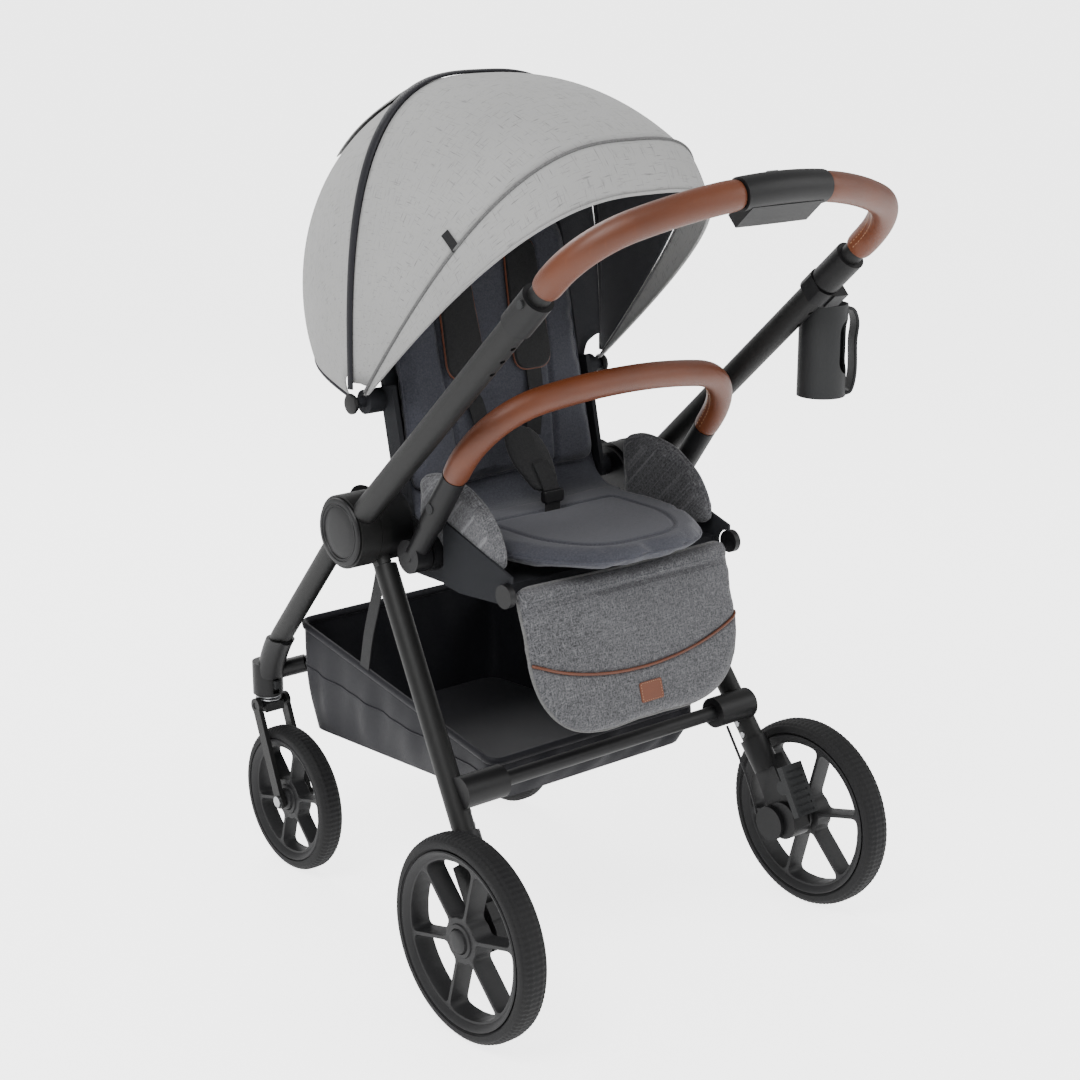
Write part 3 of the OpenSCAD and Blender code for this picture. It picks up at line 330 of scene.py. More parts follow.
# %% weave
weave, given, out = effect("weave", {"Vector": None, "Threads": 900.0, "Slubs": 0.5},
                           ["Melange", "Height"])
xyz = node(weave, "SeparateXYZ", {0: given["Vector"]}).outputs
u = maths(weave, "MULTIPLY", xyz[0], given["Threads"])
v = maths(weave, "MULTIPLY", maths(weave, "ADD", xyz[1], xyz[2]), given["Threads"])
warp = maths(weave, "SINE", maths(weave, "MULTIPLY", u, pi))
weft = maths(weave, "SINE", maths(weave, "MULTIPLY", v, pi))
checks = maths(weave, "MULTIPLY", warp, weft)
streaks = []
for along, across in ((0.05, 0.6), (0.6, 0.05)):
    place = node(weave, "CombineXYZ", {0: maths(weave, "MULTIPLY", u, along),
                                       1: maths(weave, "MULTIPLY", v, across)}).outputs[0]
    streaks.append(node(weave, "TexNoise", {"Vector": place, "Scale": 1.0, "Detail": 2.0,
                                            "Roughness": 0.6}).outputs[0])
streak = maths(weave, "MAXIMUM", streaks[0], streaks[1])
slub = node(weave, "MapRange", {0: streak, 1: 0.56, 2: 0.74}, clamp=True).outputs[0]
speckle = node(weave, "TexNoise", {"Vector": given["Vector"], "Scale": 420.0, "Detail": 2.0}).outputs[0]
mixed = maths(weave, "ADD", maths(weave, "MULTIPLY", slub, given["Slubs"]),
              maths(weave, "MULTIPLY", speckle, maths(weave, "SUBTRACT", 1.0, given["Slubs"])))
weave.links.new(mixed, out["Melange"])
weave.links.new(maths(weave, "ADD", maths(weave, "MULTIPLY", checks, 0.5),
                      maths(weave, "MULTIPLY", slub, 0.4)), out["Height"])

# %% grain and mottling
grain, given, out = effect("grain", {"Vector": None, "Scale": 700.0, "Creases": 0.4}, ["Height"])
cells = node(grain, "TexVoronoi", {"Vector": given["Vector"], "Scale": given["Scale"]},
             feature="DISTANCE_TO_EDGE").outputs["Distance"]
pebble = node(grain, "MapRange", {0: cells, 1: 0.0, 2: 0.25}, clamp=True).outputs[0]
fine = node(grain, "TexNoise", {"Vector": given["Vector"], "Scale": given["Scale"], "Detail": 3.0})
height = maths(grain, "ADD", maths(grain, "MULTIPLY", pebble, given["Creases"]),
               maths(grain, "MULTIPLY", fine.outputs[0], 0.6))
grain.links.new(height, out["Height"])

mottle, given, out = effect("mottle", {"Vector": None, "Scale": 9.0}, ["Patches", "Scuffs"])
slow = node(mottle, "TexNoise", {"Vector": given["Vector"], "Scale": given["Scale"], "Detail": 4.0})
mottle.links.new(node(mottle, "MapRange", {0: slow.outputs[0], 1: 0.3, 2: 0.7},
                      clamp=True).outputs[0], out["Patches"])
scratch = node(mottle, "Mapping", {0: given["Vector"], 3: (40.0, 300.0, 40.0)}).outputs[0]
marks = node(mottle, "TexNoise", {"Vector": scratch, "Scale": 1.0, "Detail": 3.0}).outputs[0]
mottle.links.new(node(mottle, "MapRange", {0: marks, 1: 0.62, 2: 0.75}, clamp=True).outputs[0],
                 out["Scuffs"])
print("effects", [g.name for g in bpy.data.node_groups])

# %% [markdown]
# ## Finishes
# Powder-coated tube, moulded plastic, rubber and hide all use the same recipe: two close colours
# mixed by the mottling, a roughness that drifts, and the grain as a bump. Cloths mix a dark and a
# light thread by the melange mask and take a little sheen from their fuzz.

# %% hard finishes
def coordinates(tree, use_cloth):
    return node(tree, "TexCoord").outputs["UV" if use_cloth else "Object"]


def blend_colours(tree, mask, dark, light):
    mix = node(tree, "Mix", {0: mask, 6: (*dark, 1), 7: (*light, 1)}, data_type="RGBA")
    return mix.outputs[2]


def finish_of(name):
    made = bpy.data.materials.new(name)
    made.use_nodes = True
    return made, made.node_tree, made.node_tree.nodes["Principled BSDF"]


def hard(name, dark, light, rough, scale=900.0, creases=0.2, bump=0.08, metal=0.0, coat=0.0,
         depth=0.0004, spread=0.1):
    """Two colours by patches and scuffs, roughness from rough to rough + spread, grain bump."""
    made, tree, shader = finish_of(name)
    at = coordinates(tree, False)
    patches = node(tree, "Group", {"Vector": at, "Scale": 11.0}, node_tree=mottle).outputs
    pebbles = node(tree, "Group", {"Vector": at, "Scale": scale, "Creases": creases},
                   node_tree=grain).outputs
    mask = maths(tree, "ADD", maths(tree, "MULTIPLY", patches["Patches"], 0.7),
                 maths(tree, "MULTIPLY", patches["Scuffs"], 0.3))
    tree.links.new(blend_colours(tree, mask, dark, light), shader.inputs["Base Color"])
    tree.links.new(node(tree, "MapRange", {0: mask, 3: rough, 4: rough + spread}).outputs[0],
                   shader.inputs["Roughness"])
    lifted = node(tree, "Bump", {"Strength": bump * 4, "Distance": depth,
                                 "Height": pebbles["Height"]})
    tree.links.new(lifted.outputs[0], shader.inputs["Normal"])
    shader.inputs["Metallic"].default_value = metal
    shader.inputs["Specular IOR Level"].default_value = 0.5 if metal or coat else 0.32
    shader.inputs["Coat Weight"].default_value = coat
    shader.inputs["Coat Roughness"].default_value = 0.3
    return made


FINISH = {
    "black_frame": hard("powder coat", (0.008, 0.008, 0.008), (0.014, 0.014, 0.014), 0.40, 1500, 0.3),
    "black_plastic": hard("satin plastic", (0.006, 0.006, 0.007), (0.011, 0.011, 0.011), 0.38, 1200),
    "charcoal_plastic": hard("matte plastic", (0.018, 0.019, 0.020), (0.028, 0.029, 0.030), 0.48, 1400),
    "rim_charcoal": hard("rim plastic", (0.016, 0.016, 0.017), (0.027, 0.027, 0.028), 0.46, 1300),
    "tyre_black": hard("tyre rubber", (0.006, 0.006, 0.007), (0.014, 0.014, 0.014), 0.62, 1500, 0.4,
                       0.1),
    "steel": hard("brushed steel", (0.42, 0.43, 0.44), (0.55, 0.55, 0.56), 0.28, 2200, 0.1, 0.05, 1.0),
    "shell_black": hard("shell cloth", (0.012, 0.013, 0.016), (0.020, 0.021, 0.025), 0.75, 1700, 0.5,
                        0.15),
    "tan_leather": hard("cognac hide", (0.105, 0.026, 0.007), (0.165, 0.042, 0.012), 0.33, 1500, 0.45,
                        0.10, 0.0, 0.12, spread=0.12),
}
stitch_thread = hard("waxed thread", (0.42, 0.22, 0.12), (0.60, 0.36, 0.22), 0.6, 3000)
dark_thread = hard("dark thread", (0.035, 0.036, 0.040), (0.070, 0.071, 0.078), 0.7, 3000)

# %% cloth finishes
def cloth(name, dark, light, threads, slubs, sheen, use_cloth=True, rough=0.85, bump=0.35,
          centre=0.5, width=0.5):
    """Dark and light threads by the melange mask, slow patches over them, weave bump and sheen."""
    made, tree, shader = finish_of(name)
    at = coordinates(tree, use_cloth)
    threads_of = node(tree, "Group", {"Vector": at, "Threads": threads, "Slubs": slubs},
                      node_tree=weave).outputs
    mask = node(tree, "MapRange", {0: threads_of["Melange"], 1: centre - width / 2,
                                   2: centre + width / 2}, clamp=True).outputs[0]
    colour = blend_colours(tree, mask, dark, light)
    patches = node(tree, "Group", {"Vector": node(tree, "TexCoord").outputs["Object"],
                                   "Scale": 7.0}, node_tree=mottle).outputs["Patches"]
    worn = node(tree, "Mix", {0: maths(tree, "MULTIPLY", patches, 0.18), 6: colour,
                              7: (*[min(1, c * 1.25) for c in light], 1)}, data_type="RGBA")
    tree.links.new(worn.outputs[2], shader.inputs["Base Color"])
    tree.links.new(node(tree, "MapRange", {0: patches, 3: rough, 4: min(1, rough + 0.1)}).outputs[0],
                   shader.inputs["Roughness"])
    lifted = node(tree, "Bump", {"Strength": bump, "Distance": 0.0006,
                                 "Height": threads_of["Height"]})
    tree.links.new(lifted.outputs[0], shader.inputs["Normal"])
    shader.inputs["Sheen Weight"].default_value = sheen
    shader.inputs["Sheen Roughness"].default_value = 0.5
    shader.inputs["Specular IOR Level"].default_value = 0.25
    return made


GREY, LIGHT = (0.20, 0.20, 0.198), (0.41, 0.41, 0.405)
FINISH["canopy_linen"] = cloth("linen melange", LIGHT, GREY, 900, 0.75, 0.15, centre=0.55, width=0.6)
FINISH["seat_cloth"] = cloth("seat jersey", (0.040, 0.042, 0.055), (0.072, 0.075, 0.092), 1500, 0.15,
                             0.25, False, centre=0.45, width=0.4)
FINISH["melange_cloth"] = cloth("grey melange", (0.022, 0.023, 0.026), (0.19, 0.19, 0.20), 1300, 0.35,
                                0.2, False, centre=0.40, width=0.42)
FINISH["black_cloth"] = cloth("basket nylon", (0.007, 0.007, 0.010), (0.014, 0.014, 0.019), 1600, 0.2,
                              0.1, rough=0.5, bump=0.2)
FINISH["webbing"] = cloth("webbing", (0.007, 0.007, 0.008), (0.018, 0.018, 0.019), 1100, 0.1, 0.15,
                          False, rough=0.6)
lining = cloth("canopy lining", (0.030, 0.031, 0.036), (0.055, 0.056, 0.062), 1200, 0.2, 0.1)
grey_binding = cloth("grey binding", (0.10, 0.10, 0.10), (0.20, 0.20, 0.20), 1200, 0.2, 0.15, False)
for part in frame["record"]["subparts"]:
    mesh = frame["nodes"][part["node"]].data
    mesh.materials.clear()
    mesh.materials.append(FINISH[part["material_slot"]])
print(len(FINISH), "finishes")

# %% [markdown]
# ## Canopy
# Two bows and a back edge hold the cloth. Each hoop is a superellipse, so the top is broad and the
# sides come down steeply to the pivots. Between hoops the cloth pulls in a little, like a saddle,
# and that dip is what makes it read as stretched fabric and not as a hard shell.

# %% hoops
PIVOT = (0.129, 0.725)
RIB_R, RIB_W, BOW_R, BOW_W, BOW_A = 0.413, 0.216, 0.453, 0.203, 130.5


def hoop(angle, half_w, reach, t):
    """x = w |cos t|^(2/3), distance from the pivot = reach sin(t)^(2/3), at an angle up from
    straight ahead. All inputs broadcast, so a whole sheet is one call."""
    c, r = np.cos(t), reach * np.maximum(np.sin(t), 0) ** 0.667
    a = np.radians(angle)
    x = half_w * np.sign(c) * np.abs(c) ** 0.667
    y, z = PIVOT[0] + r * np.cos(a), PIVOT[1] + r * np.sin(a)
    return np.stack(np.broadcast_arrays(x, y, z), -1)


def hoop_steps(count=121, end=1.0):
    """Angles round a hoop from right to left, closer together near the pivots."""
    s = np.linspace(-1, 1, count)
    return radians(90) - s * radians(90 - end)


def canopy_panel(angles, widths, reaches, dip, crease=0.0, end=1.0):
    """Hoops at every angle. reach loses dip * 4 s (1 - s) sin(t), where s runs over the panel, and
    crease adds the soft folds that gather near the pivots."""
    a, w, r = (np.asarray(k)[:, None] for k in (angles, widths, reaches))
    t = hoop_steps(end=end)[None]
    s = ((a - a[0]) / (a[-1] - a[0]))
    low = np.exp(-((np.sin(t)) / 0.35) ** 2)
    folds = crease * np.sin(s * 5 * pi) * low * s * (1 - s) * 4
    return hoop(a, w, r - dip * 4 * s * (1 - s) * np.sin(t) + folds, t)


def cloth_sheet(name, points, body, slot, thick=0.0016,
                inner=None):
    """A welded sheet with a wall of cloth of the given thickness, and an inner finish when one is
    given.
    """
    made = piece(name, grid(points), body, slot, outward=False)
    wall = made.modifiers.new("wall", "SOLIDIFY")
    wall.thickness, wall.offset = thick, -1
    if inner:
        made.data.materials.append(inner)
        wall.material_offset = 1
    return made

# %% canopy cloth
rear_a = np.linspace(14, 88.3, 34)
rear_r = np.interp(rear_a, [14, 30, 45, 60, 75, 88], [0.205, 0.262, 0.308, 0.348, 0.374, 0.406])
rear_w = np.interp(rear_a, [14, 45, 88], [RIB_W - 0.014, RIB_W - 0.009, RIB_W - 0.002])
smooth = np.polyfit(rear_a, rear_r, 4)
canopy_rear = cloth_sheet("canopy_rear_cloth",
                          canopy_panel(rear_a, rear_w, np.polyval(smooth, rear_a), -0.004, 0.004, 2),
                          "canopy_middle", "canopy_linen", inner=lining)
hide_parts("canopy_rear")
front_a = np.linspace(91.5, BOW_A - 0.4, 26)
s = (front_a - 92) / (BOW_A - 92)
canopy_front = cloth_sheet("canopy_front_cloth",
                           canopy_panel(front_a, RIB_W - 0.003 + (BOW_W - RIB_W) * s,
                                        RIB_R - 0.002 + (BOW_R - RIB_R) * s, 0.006, 0.003),
                           "canopy_forward", "canopy_linen", inner=lining)
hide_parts("canopy_front")
visor_a = np.linspace(BOW_A + 0.2, BOW_A + 9, 12)
s = (visor_a - BOW_A) / 9
cloth_sheet("canopy_visor",
                    canopy_panel(visor_a, BOW_W - 0.0036 * s, BOW_R - 0.0144 * s, -0.003, 0.0, 0.4),
                    "canopy_forward", "canopy_linen")

# %% [markdown]
# The cloth meets the bows in sewn edges: a rounded black strip over the middle rib, a piped seam
# along the front bow, a bound edge round the visor and a hem at the back. Each is a small profile
# carried along its hoop.

# %% canopy edges
def along_hoop(angle, half_w, reach, lift, end=0.6):
    return hoop(angle, half_w + lift, reach + lift, hoop_steps(161, end))


def out_of_hoop(path):
    """Away from the line of the pivots: the side vector that keeps a strip flat on the cloth."""
    return path - np.array([0, PIVOT[0], PIVOT[1]]) * [0, 1, 1] - path * [0.4, 0, 0]


def strip(name, path, half_wide, high, body, slot, ends=1.0, material=None):
    """A pillow-shaped strip: an ellipse of half_wide by high carried along the path, narrower at
    its ends."""
    s = np.linspace(-1, 1, len(path))
    wide = half_wide * (1 - (1 - ends) * s ** 2)
    t = np.linspace(0, 2 * pi, 17)
    direction = unit(np.gradient(path, axis=0))
    n = out_of_hoop(path)
    n -= (n * direction).sum(1, keepdims=True) * direction
    n = unit(n)
    b = np.cross(direction, n)
    rings = (path[:, None] + (wide[:, None] * np.cos(t))[..., None] * b[:, None]
             + high * np.sin(t)[None, :, None] * n[:, None])
    rings = np.concatenate([path[:1, None] + 0 * rings[:1], rings, path[-1:, None] + 0 * rings[-1:]])
    return piece(name, grid(rings), body, slot, material=material)


strip("canopy_rib_tape", along_hoop(90, RIB_W, RIB_R, -0.001), 0.0088, 0.0026,
            "canopy_middle", "black_cloth", 0.6)
for name, angle, w, r, wide, high, body, slot, material in (
        ("bow_piping", BOW_A, BOW_W, BOW_R, 0.0023, 0.0026, "canopy_forward", "canopy_linen",
         grey_binding),
        ("visor_binding", BOW_A + 9, BOW_W - 0.0036, BOW_R - 0.0144, 0.0016, 0.0026,
         "canopy_forward", "canopy_linen", None),
        ("rear_hem", 14.3, RIB_W - 0.014, 0.205, 0.003, 0.0022, "canopy_middle", "black_cloth",
         None)):
    strip(name, along_hoop(angle, w, r, -0.0006), wide, high, body, slot, material=material)
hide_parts("canopy_rib")
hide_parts("canopy_bow")

# %% canopy flap, tag and pivots
flap_t = radians(90) - np.linspace(-0.42, 0.42, 41)[None]
flap_a = np.linspace(86.0, 62.0, 15)[:, None]
flap_s = (86.0 - flap_a) / 24
flap = hoop(flap_a, RIB_W, np.polyval(smooth, flap_a) + 0.0035 + 0.004 * flap_s, flap_t)
cloth_sheet("vent_flap", flap, "canopy_middle", "canopy_linen", 0.0014)
tag_path = hoop(np.linspace(BOW_A + 0.4, BOW_A - 5.5, 9), BOW_W, BOW_R + 0.002, radians(150))
piece("canopy_tag", grid(carry(tag_path, np.array([[-1, -.1], [1, -.1], [1, .1], [-1, .1], [-1, -.1]])
                              * 0.0055, (-0.9, -0.2, 0.5))),
      "canopy_forward", "webbing")


def disc_profile(name, rows, y, z, body, slot, sides=(1, -1)):
    """A turned part about the X axis at (y, z): rows of (x, radius), mirrored to the left."""
    x, r = np.array(rows, float).T
    rings = about_axle(x[:, None], r[:, None], np.linspace(0, 2 * pi, 49), y, z)
    made = [grid(rings * [side, 1, 1]) for side in sides]
    return piece(name, made, body, slot, 30)


disc_profile("canopy_pivots", [(0.2095, 0), (0.2095, 0.011), (0.2128, 0.0135), (0.216, 0.0135),
                               (0.2172, 0.012), (0.2178, 0.006), (0.2178, 0)], *PIVOT,
             "canopy_middle", "black_plastic")

# %% [markdown]
# ## Pads
# A pad is two faces of cloth sewn round an outline and filled. The blank starts a little thin:
# rings shrink from the edge to a middle line while its height follows a rounded profile. The cloth
# solver then swells it, with a cap on how far any point may travel. Seams come after, as grooves
# pressed into the swollen skin, because remeshing would rub them out.

# %% pad blanks
def rectangle(half_x, half_y, radius, step):
    """The outline of a rectangle about the origin."""
    return loop_of([(-half_x, -half_y), (half_x, -half_y), (half_x, half_y), (-half_x, half_y)],
                   radius, step)


def loop_of(corners, radii, step=0.004):
    """A closed outline with rounded corners: each corner is a quadratic curve between the points
    that lie its radius away on both sides."""
    c = np.asarray(corners, float)
    before, after = np.roll(c, 1, 0) - c, np.roll(c, -1, 0) - c
    radii = np.broadcast_to(radii, len(c))[:, None]
    start, end = c + unit(before) * radii, c + unit(after) * radii
    t = np.linspace(0, 1, 12)[None, :, None]
    bend = (1 - t) ** 2 * start[:, None] + 2 * t * (1 - t) * c[:, None] + t ** 2 * end[:, None]
    ring = bend.reshape(-1, 2)
    ring = np.concatenate([ring, ring[:1]])
    run = run_of(ring)
    where = np.linspace(0, run[-1], int(run[-1] / step) + 1)
    return np.stack([np.interp(where, run, ring[:, k]) for k in range(2)], -1)


def at_height(loop, height):
    """A flat outline lifted to one height."""
    return np.concatenate([loop, np.full((len(loop), 1), height)], -1)


def pad_rings(loop, low, high, edge, crown=0.0, centre=None):
    """Rings of (x, y, z): from the middle of the lower face out to the seam and back to the middle
    of the upper face. Inset runs as edge (1 - cos), height as sin, so the rim is round."""
    centre = loop[:-1].mean(0) if centre is None else np.asarray(centre)
    a = np.linspace(-pi / 2, pi / 2, 13)
    middle, half = (low + high) / 2, (high - low) / 2
    inset = edge * (1 - np.cos(a))
    z = middle + half * np.sin(a)
    far = np.linalg.norm(loop - centre, axis=1, keepdims=True)
    toward = (centre - loop) / far
    rim = np.concatenate([(loop + toward * i) for i in inset]).reshape(len(a), -1, 2)
    inner = np.linspace(0, 1, 16)[1:, None, None]
    top = rim[-1] + (centre - rim[-1]) * inner
    bottom = (rim[0] + (centre - rim[0]) * inner)[::-1]
    rise = crown * (1 - (1 - inner) ** 2)
    flat = np.concatenate([bottom, rim, top])
    heights = np.concatenate([np.full(bottom.shape[:2], low), np.repeat(z[:, None], len(loop), 1),
                              high + np.broadcast_to(rise[..., 0], top.shape[:2])])
    return np.concatenate([flat, heights[..., None]], -1)

# %% swelling
def settle(made):
    """Applies every modifier, so the mesh itself holds the result."""
    graph = bpy.context.evaluated_depsgraph_get()
    mesh = bpy.data.meshes.new_from_object(made.evaluated_get(graph))
    made.modifiers.clear()
    made.data = mesh


def points_of(mesh):
    flat = np.zeros(len(mesh.vertices) * 3, np.float32)
    mesh.vertices.foreach_get("co", flat)
    return flat.reshape(-1, 3).astype(float)


def write_points(mesh, points):
    mesh.vertices.foreach_set("co", points.astype(np.float32).ravel())
    mesh.update()


def swell(made, toward, pressure=4.0, cap=0.008, voxel=0.006):
    """Remeshes the blank, runs the cloth solver for 20 frames with pressure and no gravity, and
    keeps each point's travel up to cap. Travel across the face direction counts only an eighth,
    so the outline keeps its size. Then one subdivision rounds it."""
    made.modifiers.new("voxels", "REMESH").voxel_size = voxel
    settle(made)
    scene = bpy.context.scene
    others = [o for o in scene.objects if o is not made and not o.hide_viewport]
    for other in others:
        other.hide_viewport = True
    solver = made.modifiers.new("swell", "CLOTH")
    solver.settings.use_pressure = True
    solver.settings.uniform_pressure_force = pressure
    solver.settings.effector_weights.gravity = 0.0
    solver.settings.quality = 4
    before = points_of(made.data)
    for number in range(1, 21):
        scene.frame_set(number)
    graph = bpy.context.evaluated_depsgraph_get()
    after = points_of(made.evaluated_get(graph).data)
    travel = after - before
    across = np.asarray(toward, float) / np.linalg.norm(toward)
    through = (travel @ across)[:, None] * across
    travel = through + (travel - through) * 0.125
    far = np.linalg.norm(travel, axis=1, keepdims=True)
    made.modifiers.clear()
    write_points(made.data, before + travel * np.minimum(1, cap / np.maximum(far, 1e-9)))
    for other in others:
        other.hide_viewport = False
    scene.frame_set(1)
    made.modifiers.new("round", "SUBSURF").levels = 1
    made.modifiers["round"].render_levels = 1
    settle(made)
    made.data.shade_smooth()
    print(made.name, "swelled by", round(float(far.max()), 4), "of cap", cap)
    return made


def skin(points, normals, lines, depth, width=0.0032):
    """Presses seams: every point near a line sinks along its normal by depth e^-(d/width)^2."""
    near = np.full(len(points), 1.0)
    for line in lines:
        for part in np.array_split(evenly(line, 0.003), max(1, len(line) // 40)):
            gap = np.linalg.norm(points[:, None] - part[None], axis=2).min(1)
            near = np.minimum(near, gap)
    return points - normals * (depth * np.exp(-(near / width) ** 2))[:, None]


def normals_of(mesh):
    flat = np.zeros(len(mesh.vertices) * 3, np.float32)
    mesh.vertices.foreach_get("normal", flat)
    return flat.reshape(-1, 3).astype(float)


def surface(made):
    return BVHTree.FromPolygons([v.co for v in made.data.vertices],
                                [p.vertices[:] for p in made.data.polygons])


def edge_of(made, loop, middle, reach=0.03):
    """Draws each point of a loop in towards the middle until it meets the piece's edge, then
    evens out the ring."""
    tree = surface(made)
    ring = np.array(loop, float)
    for number, point in enumerate(ring):
        way = (np.asarray(middle) - point) / np.linalg.norm(np.asarray(middle) - point)
        hit = tree.ray_cast(Vector(point - way * reach), Vector(way), 3 * reach)[0]
        ring[number] = hit[:] if hit else point
    for _ in range(6):
        ring = (ring + np.roll(ring, 1, 0) + np.roll(ring, -1, 0)) / 3
    return ring


def laid_on(made, line, toward, lift=0.0):
    """Drops each point of a line onto the piece along a direction, and lifts it back a little."""
    tree = surface(made)
    toward = np.asarray(toward, float) / np.linalg.norm(toward)
    hits = [tree.ray_cast(Vector(p - toward * 0.08), Vector(toward), 0.2)[0] for p in line]
    kept = np.array([h[:] if h else p for h, p in zip(hits, line)])
    return kept - toward * lift


def pad(name, rings, frame_of, body, slot, cap, seams=(), toward=(0, 0, -1),
        depth=0.0035, pressure=4.0, voxel=0.006):
    """A finished pad: blank, swelling, then seams (lines near the face, dropped onto it first)."""
    made = piece(name, grid(frame_of(rings)), body, slot)
    swell(made, toward, pressure, cap, voxel)
    laid = [laid_on(made, line, toward) for line in seams]
    if laid:
        write_points(made.data, skin(points_of(made.data), normals_of(made.data), laid, depth))
    made.data.shade_smooth()
    return made, laid


def flat_frame(p):
    return p

# %% [markdown]
# ## Seat cushion and backrest
# The cushion ends in a round lip over the leg rest, with a piped edge, an inner sewn line that
# runs parallel to it and a slot for the crotch strap. The backrest has a flat middle panel between
# two bolsters, split by two long seams.

# %% seat cushion
low, high = box_of("seat_cushion")
half = 0.163
seat_loop = loop_of([(-half, high[1] - 0.002), (half, high[1] - 0.002), (half, low[1] + 0.115),
                     (half * 0.62, low[1] + 0.002), (-half * 0.62, low[1] + 0.002),
                     (-half, low[1] + 0.115)], (0.02, 0.02, 0.05, 0.07, 0.07, 0.05))
middle = (0, (low[1] + high[1]) / 2 - 0.01)
seat_rings = pad_rings(seat_loop * [0.985, 0.99], low[2] + 0.017, high[2] - 0.004, 0.016, 0.002, middle)


def inner_line(scale, y_shift=0.0):
    ring = (seat_loop - middle) * scale + middle + [0, y_shift]
    return at_height(ring, high[2])


top_seam = inner_line(0.66, -0.012)
slot_line = np.array([(x, -0.020, high[2]) for x in np.linspace(-0.03, 0.03, 20)])
cushion, laid = pad("seat_cushion_pad", seat_rings, flat_frame, "seat", "seat_cloth", 0.006,
                    [top_seam, slot_line])
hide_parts("seat_cushion")
PIPED = high[2] - 0.012
rim_line = edge_of(cushion, at_height(seat_loop * [0.995, 0.997], PIPED), (*middle, PIPED))
piece("seat_cushion_piping", ring_cord(rim_line, 0.0017, (0, 0, 1)),
      "seat", "seat_cloth")
piece("seat_cushion_stitching", stitches(laid[0], (0, 0, 1)), "seat", "seat_cloth",
      material=dark_thread)

# %% backrest
BACK_W, BACK_TOP = 0.158, 0.384
BACK_FACE = (0, -0.97, 0.21)
back_loop = loop_of([(-BACK_W, 0.010), (BACK_W, 0.010), (BACK_W, BACK_TOP), (-BACK_W, BACK_TOP)],
                    (0.02, 0.02, 0.085, 0.085))
back_rings = pad_rings(back_loop * [0.985, 0.99] + [0, 0.002], -0.0035, 0.016, 0.012, 0.002, (0, 0.19))
up_line = np.linspace(0.02, 0.375, 60)
folds = [np.stack([side * (0.078 + 0.012 * np.sin(up_line * 7)), up_line, 0 * up_line + 0.02], -1)
         for side in (-1, 1)]
backrest, laid = pad("backrest_cloth_pad", back_rings, on_back, "backrest", "seat_cloth", 0.006,
                     [on_back(f) for f in folds],
                     on_back(np.array([[0, 0, -1.0]]))[0] - on_back(np.array([[0, 0, 0.0]]))[0],
                     depth=0.006)
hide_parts("backrest_pad")
rim_line = edge_of(backrest, on_back(at_height(back_loop * [0.997, 0.998], 0.009)),
                   on_back(np.array([[0, 0.19, 0.009]]))[0])
piece("backrest_piping", ring_cord(rim_line, 0.0017, BACK_FACE),
      "backrest", "seat_cloth")
for number, line in enumerate(laid):
    piece(f"backrest_stitching_{number}", stitches(line, BACK_FACE), "backrest", "seat_cloth",
          material=dark_thread)

# %% [markdown]
# ## Wings and leg rest
# The wings are soft flaps that stand beside the sitter, bound along their edge. The leg rest is a
# broad pad with two big round corners, a seam near its hinge, a piped curve of brown hide and a
# small blank hide patch sewn on.

# %% wings
low, high = box_of("seat_wings")
wing_out = loop_of([(0.030, 0.552), (0.034, 0.642), (-0.010, 0.655), (-0.070, 0.647), (-0.118, 0.617),
                    (-0.140, 0.578), (-0.140, 0.556), (-0.118, 0.551)],
                   (0.008, 0.012, 0.012, 0.022, 0.02, 0.012, 0.008, 0.010))
for side, word in SIDES:
    rings = pad_rings(wing_out, 0.1685, 0.1805, 0.005, 0.0, (-0.045, 0.600))
    placed = rings[..., [2, 0, 1]] * [side, 1, 1]
    wing, _ = pad(f"seat_wing_{word}", placed, flat_frame, "seat", "melange_cloth", 0.0035, (),
                  (side, 0, 0), voxel=0.005)
    if side > 0:
        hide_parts("seat_wings")
    edge = np.stack([np.full(len(wing_out), side * 0.1745), wing_out[:, 0], wing_out[:, 1]], -1)
    edge = edge_of(wing, edge, (side * 0.1745, -0.045, 0.600))
    piece(f"wing_binding_{word}", ring_cord(edge, 0.0024, (1, 0, 0)),
          "seat", "melange_cloth")

# %% leg rest
LEG_W, LEG_LEN = 0.181, 0.200
leg_loop = loop_of([(-LEG_W, 0.006), (LEG_W, 0.006), (LEG_W, -LEG_LEN), (-LEG_W, -LEG_LEN)],
                   (0.012, 0.012, 0.118, 0.118))
leg_rings = pad_rings(leg_loop * [0.985, 0.985], -0.0085, 0.0085, 0.010, 0.0, (0, -0.09))


def leg_face(x, z, y=-0.02):
    return on_legrest(np.stack([x, np.full_like(x, y), z], -1))


across = np.linspace(-1, 1, 90)
hide_curve = leg_face(across * (LEG_W - 0.004), -0.088 - 0.040 * (1 - across ** 2) ** 0.8)
hinge_seam = leg_face(across * (LEG_W - 0.004), 0 * across - 0.020)
into = on_legrest(np.array([[0, 1.0, 0]]))[0] - on_legrest(np.array([[0, 0.0, 0]]))[0]
legrest, laid = pad("legrest_cloth_pad", leg_rings[..., [0, 2, 1]] * [1, -1, 1], on_legrest,
                    "legrest", "melange_cloth", 0.005,
                    [hide_curve, hinge_seam], into, depth=0.003)
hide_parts("legrest_pad")
piece("legrest_hide_piping", cord_tube(laid[0][1:-1], 0.0019, -into), "legrest", "tan_leather")
for shift in (-0.006, 0.006):
    row = laid_on(legrest, laid[1] + [0, 0, shift], into)
    piece(f"legrest_stitching_{'ab'[shift > 0]}", stitches(row[2:-2], -into), "legrest",
          "melange_cloth", material=dark_thread)
rim = on_legrest(np.stack([leg_loop[:, 0], 0 * leg_loop[:, 0], leg_loop[:, 1]], -1))
rim = edge_of(legrest, rim, on_legrest(np.array([[0, 0, -0.09]]))[0])
piece("legrest_binding", ring_cord(rim, 0.0024, into, 10), "legrest",
      "melange_cloth", material=grey_binding)
LABEL = (0.0, -0.160)
